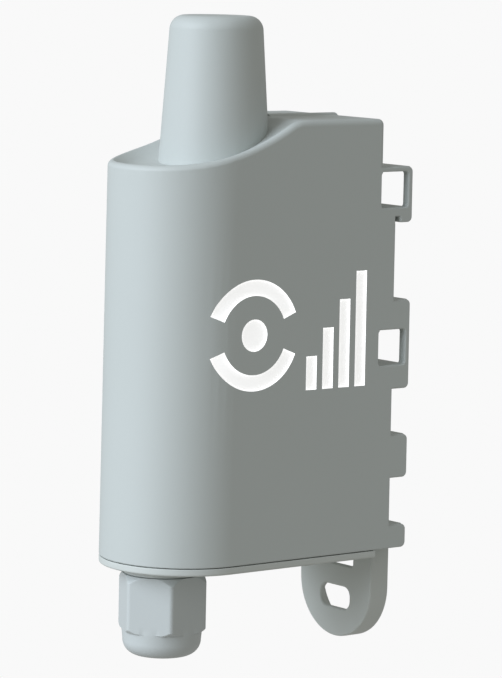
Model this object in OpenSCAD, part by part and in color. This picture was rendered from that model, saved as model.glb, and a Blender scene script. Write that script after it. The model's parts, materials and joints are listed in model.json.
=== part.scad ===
// Wireless sensor housing for an outdoor wall, a pole or a rail, with a gland for the lead of a current clamp.
// Lengths are in millimetres. Pieces are drawn in case coordinates: X runs across the thickness, Y from the
// round front (0) to the wall behind, and Z up from the parting line. in_frame() then puts the origin at the
// centre of the lug's screw slot, on the wall plane.

/* [Case] */
// Thickness of the case across its wide faces
case_w = 27; // [26.6:0.1:32]
// Depth from the round front to the wall behind
case_d = 50; // [49:0.5:60]
// Wall of the upper case
wall = 2.0; // [1.8:0.1:2.2]
// Draft of the moulded sides, in degrees
draft = 0.37; // [0.2:0.01:0.5]
// Height of the low front of the top above the parting line
front_h = 64.3; // [63.5:0.1:67]
// Height of the flat back of the top above the parting line
plateau_h = 71.4; // [70.8:0.1:74]
// Radius of the hollow sweep that joins the low front to the flat back
sweep_r = 50.4; // [46:0.2:56]
// Depth that the bevel takes off the crest where the sweep meets the flat back
crest_cut = 0.25; // [0.1:0.05:0.5]
// Rounding of the upper rear corner
rear_corner_r = 1.0; // [0.8:0.1:2]
// Thickness of the top
top_t = 2.2; // [2.0:0.1:2.4]
// Depth of the pocket behind the rear wall
pocket_d = 6.1; // [5.6:0.1:6.6]
// Width of the raised bead along the flat back
ridge_w = 2; // [1.6:0.1:3]
// Height of the raised bead along the flat back
ridge_h = 0.4; // [0.3:0.05:0.6]

/* [Aerial dome] */
// Distance of the dome's centre from the front
dome_y = 18.6; // [17.6:0.1:19.4]
// Radius of the dome at the height of the low front
dome_r = 9.05; // [8.8:0.05:9.4]
// Height of the dome's flat end above the parting line
dome_h = 87.9; // [87:0.1:92]
// Taper of the dome, in degrees
dome_taper = 3.84; // [3:0.02:4.2]
// Rounding of the dome's end
dome_edge_r = 2.4; // [1.5:0.1:3]
// Wall of the dome
dome_wall = 1.6; // [1.4:0.1:1.8]

/* [Back ribs] */
// Thickness of the two side flanges
flange_t = 1.9; // [1.6:0.1:2.2]
// Depth that a rail's lips sink in behind the tabs
tab_d = 3.5; // [3:0.1:4]
// Height of the rail that the hook and the lower tab hold, with its clearance
rail_h = 35.3; // [35.2:0.1:35.5]
// Height of the lower tab's top above the parting line
low_tab_top = 19.0; // [18:0.1:19.5]
// Height of the lower tab
low_tab_h = 7.2; // [6:0.1:8]
// Height of the middle tab's lower edge above the parting line
mid_tab_z = 26.7; // [26:0.1:27.2]
// Height of the middle tab
mid_tab_h = 14.8; // [14:0.1:15.4]
// Height of the hooked upper tab
top_tab_h = 9.2; // [9.1:0.1:10]
// Height of the foot tab
foot_tab_h = 3.9; // [3.6:0.1:4.5]
// Thickness of the cross ribs behind the tabs
rib_t = 1.1; // [0.9:0.1:1.4]
// Width of the groove that takes the rail's lip
hook_gap = 1.0; // [0.9:0.1:1.2]
// Height of the strap windows
window_h = 5.9; // [5:0.1:6.1]
// Length of the strap windows from front to back
window_d = 5.8; // [5.2:0.1:6]
// Stock left under the window of the upper tab
top_window_sill = 2.5; // [2.2:0.1:2.6]
// Stock left under the window of the middle tab
mid_window_sill = 4.0; // [3.5:0.1:4.5]
// Rounding of the tabs' outer corners
tab_corner_r = 0.9; // [0.5:0.1:1.2]

/* [Lower case] */
// Thickness of the rim that shows under the parting line
rim_t = 1.3; // [1.2:0.1:1.6]
// Height of the plug that enters the upper case
plug_h = 6.5; // [6:0.1:7]
// Wall of the plug
plug_t = 2.2; // [2:0.1:2.4]
// Clearance between the plug and the upper case
plug_gap = 0.15; // [0.12:0.01:0.2]
// Height of the seal groove
groove_h = 2.2; // [1.8:0.1:2.4]
// Depth of the seal groove
groove_d = 1.1; // [0.9:0.1:1.2]
// Clearance between the seal and the upper case
seal_gap = 0.06; // [0.05:0.01:0.08]
// Shadow gap along the parting line
parting_gap = 0.12; // [0.08:0.01:0.2]

/* [Wall lug] */
// Width of the lug
lug_w = 18.8; // [17:0.1:20]
// Thickness of the lug
lug_t = 3.9; // [3.5:0.1:4.2]
// Distance from the parting line down to the lug's end
lug_drop = 17.0; // [16:0.1:20]
// Distance from the parting line down to the screw slot's centre
slot_drop = 10.2; // [9.8:0.1:11]
// Length of the screw slot
slot_w = 7.6; // [6:0.1:9]
// Height of the screw slot
slot_h = 3.8; // [3.2:0.1:4.2]
// Thickness of the lug's web round the slot
lug_web = 1.1; // [1:0.1:1.6]
// Width of the thick frame round the web
lug_frame = 3.0; // [2.6:0.1:3.4]
// Width of the upper window of the lug
lug_window_w = 9.0; // [8:0.1:10]
// Height of the upper window of the lug
lug_window_h = 3.9; // [3:0.1:4.2]

/* [Cable gland] */
// Distance of the gland's axis from the front
gland_y = 9.8; // [9.2:0.1:10.4]
// Width of the nut across its flats
nut_af = 13.15; // [13:0.05:14]
// Height of the nut's hexagon
nut_hex_h = 9.3; // [9:0.1:10]
// Height of the round crown under the hexagon
nut_crown_h = 4.2; // [4.1:0.1:5]
// Radius of the hole in the end of the nut
nut_hole_r = 3.2; // [3:0.1:3.4]
// Gap between the rim and the nut
nut_top_gap = 1.3; // [1.2:0.05:1.6]
// Radius of the threaded spout
spout_r = 5.3; // [5.2:0.05:5.4]
// Radial clearance in the nut's thread
thread_gap = 0.08; // [0.05:0.01:0.1]
// Radius of the largest lead that the open seal takes
lead_r = 2.5; // [2:0.1:2.8]
// Number of fingers on the claw
claw_fingers = 8; // [6:1:10]
// Width of the slots between the fingers
claw_slot = 0.7; // [0.5:0.05:0.9]

/* [Power cell] */
// Clearance between the cell and the side wall
cell_play = 0.4; // [0.35:0.05:0.8]
// Length of the cell
cell_l = 50.5; // [48:0.1:51]
// Sheet thickness of the cell clips
clip_t = 0.4; // [0.3:0.05:0.5]
// Width of the cell clips
clip_w = 7; // [5:0.1:9]

/* [Electronics] */
// Thickness of the circuit board
board_t = 1.6; // [1.4:0.1:1.8]
// Room between the board and the side wall for the parts on its back
back_room = 5.7; // [5.4:0.1:5.8]
// Diameter of the closing screws
screw_d = 2.2; // [2:0.1:2.4]
// Length of the closing screws under the head
screw_l = 19; // [17:0.5:20]
// Pitch between the two poles of the terminal block
pole_pitch = 3.5; // [3.4:0.1:3.8]
// Turns of the aerial coil
coil_turns = 11; // [8:1:12]
// Distance from the board's face to the aerial coil
coil_off = 1.6; // [1.4:0.1:2]
// Radius of the aerial coil to the middle of its wire
coil_r = 2.6; // [2.2:0.1:2.8]

/* [Hidden] */
$fn = 96;
eps = 0.01;
half_w = case_w / 2;
body_d = case_d - pocket_d;
valley_y = case_d - tab_d;
lean = tan(draft);
mid_tab_top = mid_tab_z + mid_tab_h;
hook_z = low_tab_top + rail_h;
top_tab_top = hook_z + top_tab_h;
top_window_z = hook_z + top_window_sill;
mid_window_z = mid_tab_z + mid_window_sill;
window_y = case_d - 0.95 - window_d;

// Sweep and crest of the top, in the side view
sweep_cz = front_h + sweep_r;
crest_y = sqrt(pow(sweep_r, 2) - pow(sweep_cz - plateau_h, 2));
crest_lean = asin(crest_y / sweep_r) / 2;
cavity_r = sweep_r + top_t;
cavity_h = plateau_h - top_t;
ridge_r = (pow(ridge_w / 2, 2) + pow(ridge_h, 2)) / (2 * ridge_h);
ridge_start = 3.5;
ridge_setback = 0.4;

// Dome
dome_slope = tan(dome_taper);
dome_root = front_h - 4;
dome_edge_z = dome_h - dome_edge_r;
dome_edge_x = dome_r - (dome_edge_z - front_h) * dome_slope - dome_edge_r / cos(dome_taper);

// Plug, seal and floor
rim_edge = 0.2;
rim_setback = 0.3;
lug_gap = 0.3;
plug_in = wall + plug_gap;
plug_inner = plug_in + plug_t;
groove_z = (plug_h - groove_h) / 2;

// Gland stack, as heights under the parting line
nut_top = -(rim_t + nut_top_gap);
nut_hex_end = nut_top - nut_hex_h;
nut_end = nut_hex_end - nut_crown_h;
nut_corner_r = nut_af / sqrt(3);
nut_turn = 35.3;
low_chamfer = [0.89, 0.75];
top_chamfer = [1.0, 1.15];
chamfer_over = 0.1;
crown_step = 0.01;
crown_r = nut_af / 2 - crown_step;
crown_edge_r = 2.6;
crown_taper = 0.12;
nut_floor = 1.4;
chamber_end = nut_end + nut_floor;
chamber_r = spout_r - 0.5;
spout_rise = 2.3;
spout_end = nut_hex_end + spout_rise;
neck_r = 7.6;
claw_r = spout_r - 0.95;
claw_in = claw_r - 0.95;
claw_seat = 3.0;
claw_ring_h = 3.6;
finger_l = 3.3;
claw_top = spout_end + claw_seat;
finger_end = claw_top - claw_ring_h - finger_l;
seal_shoulder = claw_top + 0.6;
seal_end = finger_end + 0.4;
seal_r = claw_in - 0.05;
throat_r = seal_r - 0.4;
ring_r = chamber_r - 0.1;
ring_h = 2.4;

// Board, cell and closing screws
board_back = -half_w + wall + back_room;
board_face = board_back + board_t;
board_foot = 4;
board_top = 60.5;
board_shoulder = plug_h + 1.5;
board_edge_gap = 0.6;
board_tab_w = 6.4;
board_tab_top = 69.5;
guide_gap = 0.25;
guide_t = 1.2;
guide_depth = 2.2;
cell_headroom = 5.7;
cell_z = cavity_h - cell_headroom - cell_l;
cell_r = (half_at(wall, cell_z + cell_l) - board_face - clip_t - cell_play) / 2;
cell_x = board_face + clip_t + cell_r;
cell_y = body_d - wall - 0.55 - cell_r;
clip_open = 55;
screw_y = [body_d - 21.4, body_d - 6.9];
screw_side = [1, -1];
screw_r = screw_d / 2;
screw_margin = 0.65;
screw_x = half_w - plug_in - groove_d - screw_r - screw_margin;
boss_r = 2.3;
boss_gap = 0.3;
boss_l = screw_l - plug_h + 2;
head_r = 2.0;
head_t = 1.3;
head_sink = 2.1;
head_gap = 0.1;
cross_l = 2.2;
cross_d = 0.8;
ring_seal_r = 0.35;
foot_h = 1.6;
foot_extra = 0.6;
screw_play = 0.15;
post_w = 3.6;
post_l = 5;
post_h = 15;
post_gap = 2.7;
post_screw_z = 12;
board_screw_r = 1.1;
board_head_r = 1.9;
board_head_t = 1.2;
driver_slot = 0.5;

// Terminal block
block_w = 2 * pole_pitch + 1.4;
block_x = 8.4;
block_d = 7.2;
block_z = 9;
block_y = 8.4;
cage_side = 2.7;
cage_h = 3.2;
cage_gap = 0.15;
cage_travel = 1.4;
cage_start = 2.7;
cage_roof = 0.9;
cage_floor = 0.5;
term_screw_r = 1.0;
term_head_r = 1.35;
term_head_t = 1.1;
term_head_sink = 0.5;
term_shank = 3.4;
term_slot = 0.4;
term_gap = 0.06;
cage_wall = cage_side / 2 - term_screw_r - term_gap - 0.04;
entry_side = 2.3;
pole_y = [for (i = [0, 1]) block_y + block_w / 2 + (i - 0.5) * pole_pitch];
term_screw_z = block_z + block_d / 2 + 0.6;
post_y = [block_y + block_w + post_gap, body_d - 14.9];

// Aerial coil
coil_wire = 0.9;
coil_pitch = 1.45;
coil_x = board_face + coil_off + coil_r;
coil_z = 66.5;
coil_sides = 6;
coil_steps = 8;
coil_foot_l = 0.6;

// Other parts on the board
radio_size = [2.6, 16, 19];
radio_pos = [8.6, 34];
chip_size = [1.2, 8, 8];
chip_pos = [12.5, 21];
buffer_r = 2.5;
buffer_l = 12;
buffer_pos = [body_d - 13.4, 18.5];
reed_r = 1.1;
reed_l = 12;
reed_pos = [body_d - 10.9, 37];
reed_lift = 1.6;
reed_wire = 0.6;
reed_leg = 1.6;
buffer_leg = 0.7;
light_y = [body_d - 17.4, body_d - 13.9];
light_z = 56;
light_size = [0.9, 1.6, 1.2];
part_size = [0.7, 1.4, 0.9];
part_count = [5, 4];
part_pitch = [2.6, 2.4];
part_row = [9.5, 31];
part_gap = 0.8;
header_pos = [8.6, 34];
header_w = 2.5;
pin_count = 5;
pin_pitch = 2.54;
pin_side = 0.64;
pin_l = 3.2;
lead_wire_r = 0.65;
plug_size = [3.2, 5, 5.4];
socket_size = [4.4, 6.6, 4.2];
socket_pos = [body_d - 24.5, 43.2];
plug_seat = 2;
plug_fit = 0.1;
socket_wall = 0.6;

// Puts case coordinates into the part's frame
module in_frame() {
    translate([0, -case_d, slot_drop])
        children();
}

// Extrudes a side view (Y, Z) across the thickness, centred on X = 0
module across(w) {
    translate([-w / 2, 0, 0])
        rotate([90, 0, 90])
            linear_extrude(w)
                children();
}

// Half width of the drafted case at a height
function half_at(inset, z) = half_w - inset - z * lean;

// Round-fronted section of the case: side lists [half width, height] up one side, rear is where it ends
module case_section(side, rear) {
    top = side[len(side) - 1][1];
    half = concat([[0, side[0][1]]], side, [[0, top]]);
    both = concat(side, [for (i = [len(side) - 1:-1:0]) [-side[i][0], side[i][1]]]);
    translate([0, half_w, 0])
        rotate([0, 0, 180])
            rotate_extrude(angle = 180)
                polygon(half);
    translate([0, rear, 0])
        rotate([90, 0, 0])
            linear_extrude(rear - half_w)
                polygon(both);
}

// Section with the sides of the mould's draft
module drafted(inset, rear, z0, z1) {
    case_section([[half_at(inset, z0), z0], [half_at(inset, z1), z1]], rear);
}

// Section with upright sides, for what plugs into the case
module straight(inset, rear, z0, z1) {
    case_section([[half_w - inset, z0], [half_w - inset, z1]], rear);
}

// Rectangle with four round corners
module rounded(size, r) {
    translate([r, 0])
        square([size[0] - 2 * r, size[1]]);
    translate([0, r])
        square([size[0], size[1] - 2 * r]);
    for (x = [r, size[0] - r], y = [r, size[1] - r])
        translate([x, y])
            circle(r, $fn = 32);
}

// Side view of one tab: it grows from the body to the wall plane
module tab(z, h) {
    translate([half_w, z])
        square([case_d - half_w - 3 * tab_corner_r, h]);
    translate([case_d - 6 * tab_corner_r, z])
        rounded([6 * tab_corner_r, h], tab_corner_r);
}

// Side view of the closed body under the swept top
module body_side() {
    difference() {
        union() {
            square([body_d - rear_corner_r, plateau_h]);
            square([body_d, plateau_h - rear_corner_r]);
            translate([body_d - rear_corner_r, plateau_h - rear_corner_r])
                circle(rear_corner_r);
        }
        translate([0, sweep_cz])
            circle(sweep_r, $fn = 360);
        crest_waste();
    }
}

// Waste above the bevel of the crest
module crest_waste() {
    translate([crest_y, plateau_h])
        rotate(crest_lean)
            translate([-5, -crest_cut])
                square([10, 5]);
}

// Side view of the body with its tabs; the strap windows are cut later
module case_side() {
    body_side();
    square([valley_y, top_tab_top - top_tab_h / 2]);
    tab(0, foot_tab_h);
    tab(low_tab_top - low_tab_h, low_tab_h);
    tab(mid_tab_z, mid_tab_h);
    tab(hook_z, top_tab_h);
}

// Side view of the space inside the case
module cavity_side() {
    difference() {
        translate([wall, -1])
            square([body_d - 2 * wall, cavity_h + 1]);
        translate([0, sweep_cz])
            circle(cavity_r, $fn = 360);
    }
}

// Outside of the dome as a turned profile
module dome_profile() {
    polygon([[0, dome_root], [dome_r + (front_h - dome_root) * dome_slope, dome_root],
        [dome_edge_x + dome_edge_r * cos(dome_taper), dome_edge_z + dome_edge_r * sin(dome_taper)],
        [dome_edge_x, dome_edge_z], [0, dome_edge_z]]);
    translate([dome_edge_x, dome_edge_z])
        circle(dome_edge_r);
    translate([0, dome_edge_z - eps])
        square([dome_edge_x, dome_edge_r + eps]);
}

// Inside of the dome as a turned profile
module dome_hollow() {
    z0 = dome_root;
    z1 = dome_h - dome_wall - 0.2;
    r0 = dome_r + (front_h - z0) * dome_slope - dome_wall;
    r1 = dome_r + (front_h - z1) * dome_slope - dome_wall;
    polygon([[0, z0], [r0, z0], [r1, z1 - 1.2], [r1 - 1.2, z1], [0, z1]]);
}

// Cross rib between the flanges with its top at a height
module cross_rib(top, t) {
    front = body_d - wall / 2;
    translate([-half_w + flange_t / 2, front, top - t])
        cube([case_w - flange_t, case_d - front, t]);
}

// Screw boss inside the case, joined to the side wall
module case_boss(i) {
    side = screw_side[i];
    z0 = plug_h + boss_gap;
    translate([side * screw_x, screw_y[i], z0])
        cylinder(h = boss_l, r = boss_r);
    translate([side > 0 ? screw_x : -half_w + wall / 2, screw_y[i] - 1, z0])
        cube([half_w - wall / 2 - screw_x, 2, boss_l]);
}

// Guides that hold the board's front and rear edges
module board_guides() {
    low = board_shoulder + 3;
    high = board_top - 1;
    intersection() {
        drafted(wall / 2, body_d - wall / 2, low, high);
        for (x = [board_back - guide_gap - guide_t, board_face + guide_gap]) {
            translate([x, body_d - wall - guide_depth, low - 1])
                cube([guide_t, guide_depth + wall, high - low + 2]);
            translate([x, 0, low - 1])
                cube([guide_t, front_guide_y(), high - low + 2]);
        }
    }
}

// Inner face of the round front at the board's plane
function front_inner(x) = half_w - sqrt(pow(half_at(wall, board_top), 2) - pow(x, 2));
function front_guide_y() = front_inner(abs(board_back)) + guide_depth;

module upper_case() {
    color([0.70, 0.73, 0.73])
        in_frame()
            difference() {
                union() {
                    upper_shell();
                    case_boss(0);
                    case_boss(1);
                    board_guides();
                }
                for (i = [0, 1])
                    translate([screw_side[i] * screw_x, screw_y[i], 0])
                        cylinder(h = screw_l + 1, r = screw_r + thread_gap, $fn = 32);
            }
}

// Moulded shell: drafted sides, swept top, dome, flanges, ribs and strap windows
module upper_shell() {
    difference() {
        union() {
            intersection() {
                drafted(0, case_d + 1, 0, plateau_h + 1);
                across(case_w + 2)
                    case_side();
            }
            translate([0, dome_y, 0])
                rotate_extrude()
                    dome_profile();
            translate([0, crest_y + ridge_start, plateau_h + ridge_h - ridge_r])
                rotate([-90, 0, 0])
                    cylinder(h = body_d - ridge_start - crest_y - ridge_setback, r = ridge_r);
        }
        intersection() {
            drafted(wall, body_d, -1, plateau_h);
            across(case_w)
                cavity_side();
        }
        translate([0, dome_y, 0])
            rotate_extrude()
                dome_hollow();
        rear_pocket();
        strap_windows();
        lip_groove();
    }
    cross_rib(top_tab_top, top_tab_top - top_window_z - window_h);
    cross_rib(top_window_z, top_window_sill - hook_gap);
    for (top = [mid_tab_top, mid_window_z, low_tab_top, foot_tab_h])
        cross_rib(top, rib_t);
    translate([-half_w + flange_t / 2, valley_y + hook_gap, hook_z])
        cube([case_w - flange_t, case_d - valley_y - hook_gap, top_window_sill / 2]);
}

// Open pocket between the flanges, behind the rear wall
module rear_pocket() {
    translate([-half_w + flange_t, body_d, -1])
        cube([case_w - 2 * flange_t, pocket_d + 2, plateau_h + 2]);
}

// Windows through both flanges for a strap round a pole
module strap_windows() {
    for (z = [top_window_z, mid_window_z])
        across(case_w + 2)
            translate([window_y, z])
                rounded([window_d, window_h], 0.6);
}

// Groove under the upper tab for the lip of a rail
module lip_groove() {
    across(case_w + 2)
        translate([valley_y - eps, hook_z - eps])
            square([hook_gap, hook_gap]);
}

module lower_case() {
    color([0.69, 0.72, 0.72])
        in_frame()
            difference() {
                union() {
                    lower_rim();
                    plug_wall();
                    gland_neck();
                    lug();
                    for (i = [0, 1])
                        screw_column(i);
                    board_posts();
                }
                gland_bore();
                seal_groove();
                for (i = [0, 1])
                    screw_way(i);
                for (y = post_y)
                    translate([board_back - post_w - 1, y, post_screw_z])
                        rotate([0, 90, 0])
                            cylinder(h = post_w + 2, r = board_screw_r, $fn = 24);
            }
}

// Rim and floor under the parting line
module lower_rim() {
    case_section([[half_w - rim_edge, -rim_t], [half_w, rim_edge - rim_t], [half_w, -parting_gap]],
        body_d - rim_setback);
}

// Plug that enters the upper case
module plug_wall() {
    difference() {
        straight(plug_in, body_d - plug_in, -parting_gap - eps, plug_h);
        straight(plug_inner, body_d - plug_inner, 0, plug_h + 1);
    }
}

// Groove round the plug for the case seal
module seal_groove() {
    floor_in = plug_in + groove_d;
    difference() {
        straight(plug_in - 1, body_d - plug_in + 1, groove_z, groove_z + groove_h);
        straight(floor_in, body_d - floor_in, groove_z - 1, groove_z + groove_h + 1);
    }
}

// Flared neck and threaded spout of the gland
module gland_neck() {
    flare = nut_top_gap - 0.1;
    translate([0, gland_y, 0])
        rotate_extrude()
            difference() {
                polygon([[0, -rim_t + eps], [neck_r, -rim_t + eps], [neck_r, -rim_t - 0.1],
                    [neck_r - flare, -rim_t - flare], [spout_r, -rim_t - flare], [spout_r, spout_end],
                    [0, spout_end]]);
                translate([neck_r, -rim_t - 0.1 - flare])
                    circle(flare);
            }
}

// Stepped bore through the floor and the spout
module gland_bore() {
    translate([0, gland_y, 0]) {
        translate([0, 0, seal_shoulder])
            cylinder(h = plug_h - seal_shoulder + 1, r = throat_r);
        translate([0, 0, claw_top - 1])
            cylinder(h = seal_shoulder - claw_top + 1, r = seal_r + 0.05);
        translate([0, 0, spout_end - 1])
            cylinder(h = claw_seat + 1, r = claw_r + 0.03);
    }
}

// Wall lug, hollowed behind its web
module lug() {
    difference() {
        lug_plate();
        translate([0, case_d + 1, 0])
            rotate([90, 0, 0])
                linear_extrude(lug_t - lug_web + 1) {
                    translate([-lug_w / 2 + lug_frame, -lug_drop + lug_w / 2])
                        square([lug_w - 2 * lug_frame, lug_drop - lug_w / 2 - rim_t]);
                    translate([0, -lug_drop + lug_w / 2])
                        circle(lug_w / 2 - lug_frame);
                }
    }
}

// Full plate of the lug with its screw slot and upper window
module lug_plate() {
    end_r = lug_w / 2;
    front = case_d - lug_t;
    top = foot_tab_h - rib_t - lug_gap;
    translate([0, case_d, 0])
        rotate([90, 0, 0])
            linear_extrude(lug_t)
                difference() {
                    union() {
                        translate([-end_r, -lug_drop + end_r])
                            square([lug_w, lug_drop - end_r + top]);
                        translate([0, -lug_drop + end_r])
                            circle(end_r);
                    }
                    translate([-slot_w / 2, -slot_drop - slot_h / 2])
                        rounded([slot_w, slot_h], 0.42 * slot_h);
                    translate([-lug_window_w / 2, -rim_t - lug_window_h])
                        rounded([lug_window_w, lug_window_h], 0.5);
                }
    translate([-end_r, body_d - 1, -rim_t])
        cube([lug_w, front - body_d + 1 + eps, rim_t - parting_gap]);
    translate([-end_r, body_d + lug_gap, -parting_gap - eps])
        cube([lug_w, front - body_d - lug_gap + eps, top + parting_gap + eps]);
}

// Column that carries a closing screw, wider where the head is sunk
module screw_column(i) {
    low = -parting_gap - eps;
    intersection() {
        straight(plug_in, body_d - plug_in, low, plug_h);
        translate([screw_side[i] * screw_x, screw_y[i], low]) {
            cylinder(h = plug_h - low, r = boss_r);
            cylinder(h = foot_h - low, r = boss_r + foot_extra);
        }
    }
}

// Hole and counterbore for a closing screw
module screw_way(i) {
    translate([screw_side[i] * screw_x, screw_y[i], 0]) {
        translate([0, 0, -rim_t - 1])
            cylinder(h = plug_h + rim_t + 2, r = screw_r + screw_play, $fn = 32);
        translate([0, 0, -rim_t - 1])
            cylinder(h = head_sink + 1, r = head_r + head_gap, $fn = 48);
    }
}

// Posts that carry the board
module board_posts() {
    for (y = post_y)
        translate([board_back - post_w, y - post_l / 2, -parting_gap - eps])
            cube([post_w, post_l, post_h + parting_gap + eps]);
}

module case_seal() {
    color([0.15, 0.15, 0.16])
        in_frame()
            difference() {
                straight(wall + seal_gap, body_d - wall - seal_gap, groove_z, groove_z + groove_h - 0.05);
                straight(plug_in + groove_d, body_d - plug_in - groove_d, groove_z - 1, plug_h);
            }
}

// Closing screw: pan head with a cross recess and a plain shank
module case_screw(i) {
    seat = -rim_t + head_sink - 2 * ring_seal_r;
    color([0.75, 0.76, 0.78])
        in_frame()
            translate([screw_side[i] * screw_x, screw_y[i], seat]) {
                difference() {
                    translate([0, 0, -head_t])
                        cylinder(h = head_t, r = head_r, $fn = 48);
                    for (a = [0, 90])
                        rotate([0, 0, a])
                            translate([-cross_l / 2, -driver_slot / 2, -head_t - 1])
                                cube([cross_l, driver_slot, cross_d + 1]);
                }
                cylinder(h = screw_l, r = screw_r, $fn = 32);
            }
}

module case_screw_1() {
    case_screw(0);
}

module case_screw_2() {
    case_screw(1);
}

// Rubber ring under the head of a closing screw
module screw_seal(i) {
    color([0.15, 0.15, 0.16])
        in_frame()
            translate([screw_side[i] * screw_x, screw_y[i], -rim_t + head_sink - ring_seal_r])
                rotate_extrude($fn = 48)
                    translate([screw_r + 0.02 + ring_seal_r, 0])
                        circle(ring_seal_r, $fn = 24);
}

module screw_seal_1() {
    screw_seal(0);
}

module screw_seal_2() {
    screw_seal(1);
}

// Ring of fingers that the nut presses on to the seal
module gland_claw() {
    tip_r = claw_r - 0.7;
    color([0.85, 0.86, 0.85])
        in_frame()
            translate([0, gland_y, 0])
                difference() {
                    rotate_extrude()
                        polygon([[claw_in, claw_top], [claw_r, claw_top], [claw_r, claw_top - claw_ring_h],
                            [claw_r, finger_end + 1.2], [tip_r, finger_end], [claw_in, finger_end]]);
                    for (i = [0:claw_fingers - 1])
                        rotate([0, 0, i * 360 / claw_fingers])
                            translate([claw_in - 1, -claw_slot / 2, finger_end - 1])
                                cube([claw_r - claw_in + 2, claw_slot, finger_l + 1]);
                }
}

// Rubber sleeve that grips the lead
module gland_seal() {
    color([0.16, 0.16, 0.17])
        in_frame()
            translate([0, gland_y, 0])
                rotate_extrude()
                    polygon([[lead_r, seal_end], [seal_r - 0.3, seal_end], [seal_r, seal_end + 0.3],
                        [seal_r, seal_shoulder], [lead_r, seal_shoulder]]);
}

// Loose ring that presses the fingers in without turning with the nut
module gland_ring() {
    color([0.85, 0.86, 0.85])
        in_frame()
            translate([0, gland_y, chamber_end])
                rotate_extrude()
                    polygon([[nut_hole_r, 0], [ring_r, 0], [ring_r, ring_h], [ring_r - 0.15, ring_h],
                        [nut_hole_r + 0.3, 0.5], [nut_hole_r, 0.5]]);
}

module gland_nut() {
    color([0.70, 0.73, 0.74])
        in_frame()
            translate([0, gland_y, 0])
                difference() {
                    union() {
                        nut_hexagon();
                        rotate_extrude()
                            crown_profile();
                    }
                    translate([0, 0, nut_end - 1])
                        cylinder(h = nut_floor + 2, r = nut_hole_r);
                    translate([0, 0, chamber_end])
                        cylinder(h = nut_top - chamber_end - 1, r = chamber_r);
                    translate([0, 0, spout_end - 0.6])
                        cylinder(h = nut_top - spout_end + 2, r = spout_r + thread_gap);
                }
}

// Hexagon with chamfered corners
module nut_hexagon() {
    outside = nut_corner_r + chamfer_over;
    intersection() {
        translate([0, 0, nut_hex_end])
            rotate([0, 0, nut_turn])
                cylinder(h = nut_hex_h, r = nut_corner_r, $fn = 6);
        rotate_extrude()
            polygon([[0, nut_hex_end], [nut_corner_r - low_chamfer[0], nut_hex_end],
                [outside, nut_hex_end + low_chamfer[1] + chamfer_over],
                [outside, nut_top - top_chamfer[1] - chamfer_over],
                [nut_corner_r - top_chamfer[0], nut_top], [0, nut_top]]);
    }
}

// Round crown under the hexagon
module crown_profile() {
    edge_x = crown_r - crown_taper - crown_edge_r;
    edge_z = nut_end + crown_edge_r;
    polygon([[0, edge_z], [edge_x + crown_edge_r, edge_z], [crown_r, nut_hex_end + eps],
        [0, nut_hex_end + eps]]);
    translate([0, nut_end])
        square([edge_x, crown_edge_r + eps]);
    translate([edge_x, edge_z])
        circle(crown_edge_r, $fn = 48);
}

// Outline of the circuit board in the side view
module board_outline() {
    low_front = half_w - sqrt(pow(half_w - plug_inner - 0.5, 2) - pow(board_back, 2));
    low_rear = body_d - plug_inner - 0.5;
    front = front_inner(abs(board_back)) + board_edge_gap;
    rear = body_d - wall - board_edge_gap;
    translate([low_front, board_foot])
        square([low_rear - low_front, board_shoulder - board_foot + eps]);
    translate([front, board_shoulder])
        square([rear - front, board_top - board_shoulder]);
    translate([dome_y - board_tab_w / 2, board_top - eps])
        square([board_tab_w, board_tab_top - board_top]);
}

module main_board() {
    color([0.10, 0.32, 0.20])
        in_frame()
            difference() {
                translate([board_back, 0, 0])
                    rotate([90, 0, 90])
                        linear_extrude(board_t)
                            board_outline();
                for (y = post_y)
                    translate([board_back - 1, y, post_screw_z])
                        rotate([0, 90, 0])
                            cylinder(h = board_t + 2, r = board_screw_r + 0.1, $fn = 24);
            }
}

module board_screws() {
    color([0.75, 0.76, 0.78])
        in_frame()
            for (y = post_y)
                translate([0, y, post_screw_z])
                    rotate([0, 90, 0]) {
                        translate([0, 0, board_back - post_w + 0.4])
                            cylinder(h = post_w + board_t, r = board_screw_r - 0.02, $fn = 24);
                        difference() {
                            translate([0, 0, board_face])
                                cylinder(h = board_head_t, r = board_head_r, $fn = 32);
                            translate([-driver_slot / 2, -board_head_r - 1, board_face + board_head_t / 2])
                                cube([driver_slot, 2 * board_head_r + 2, board_head_t]);
                        }
                    }
}

// Path of the aerial wire: a coil up the dome and a foot back to the board
function coil_point(t) = [coil_x - coil_r * cos(360 * t), dome_y + coil_r * sin(360 * t), coil_z + coil_pitch * t];
coil_foot = [[board_face, dome_y, coil_z], [board_face + coil_foot_l, dome_y, coil_z]];
coil_path = concat(coil_foot, [for (i = [0:coil_turns * coil_steps]) coil_point(i / coil_steps)]);

// Least gap between the turns, measured on the path's points
turn_gaps = [for (i = [0:len(coil_path) - 1], j = [i + coil_steps / 2:len(coil_path) - 1])
    norm(coil_path[i] - coil_path[j]) - coil_wire];
echo(least_gap_between_turns = min(turn_gaps));

function unit(v) = v / norm(v);
function path_dir(p, i) = i == 0 ? unit(p[1] - p[0]) : i == len(p) - 1 ? unit(p[i] - p[i - 1])
    : unit(unit(p[i + 1] - p[i]) + unit(p[i] - p[i - 1]));
function side_of(d, up) = unit(cross(d, up));

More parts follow.
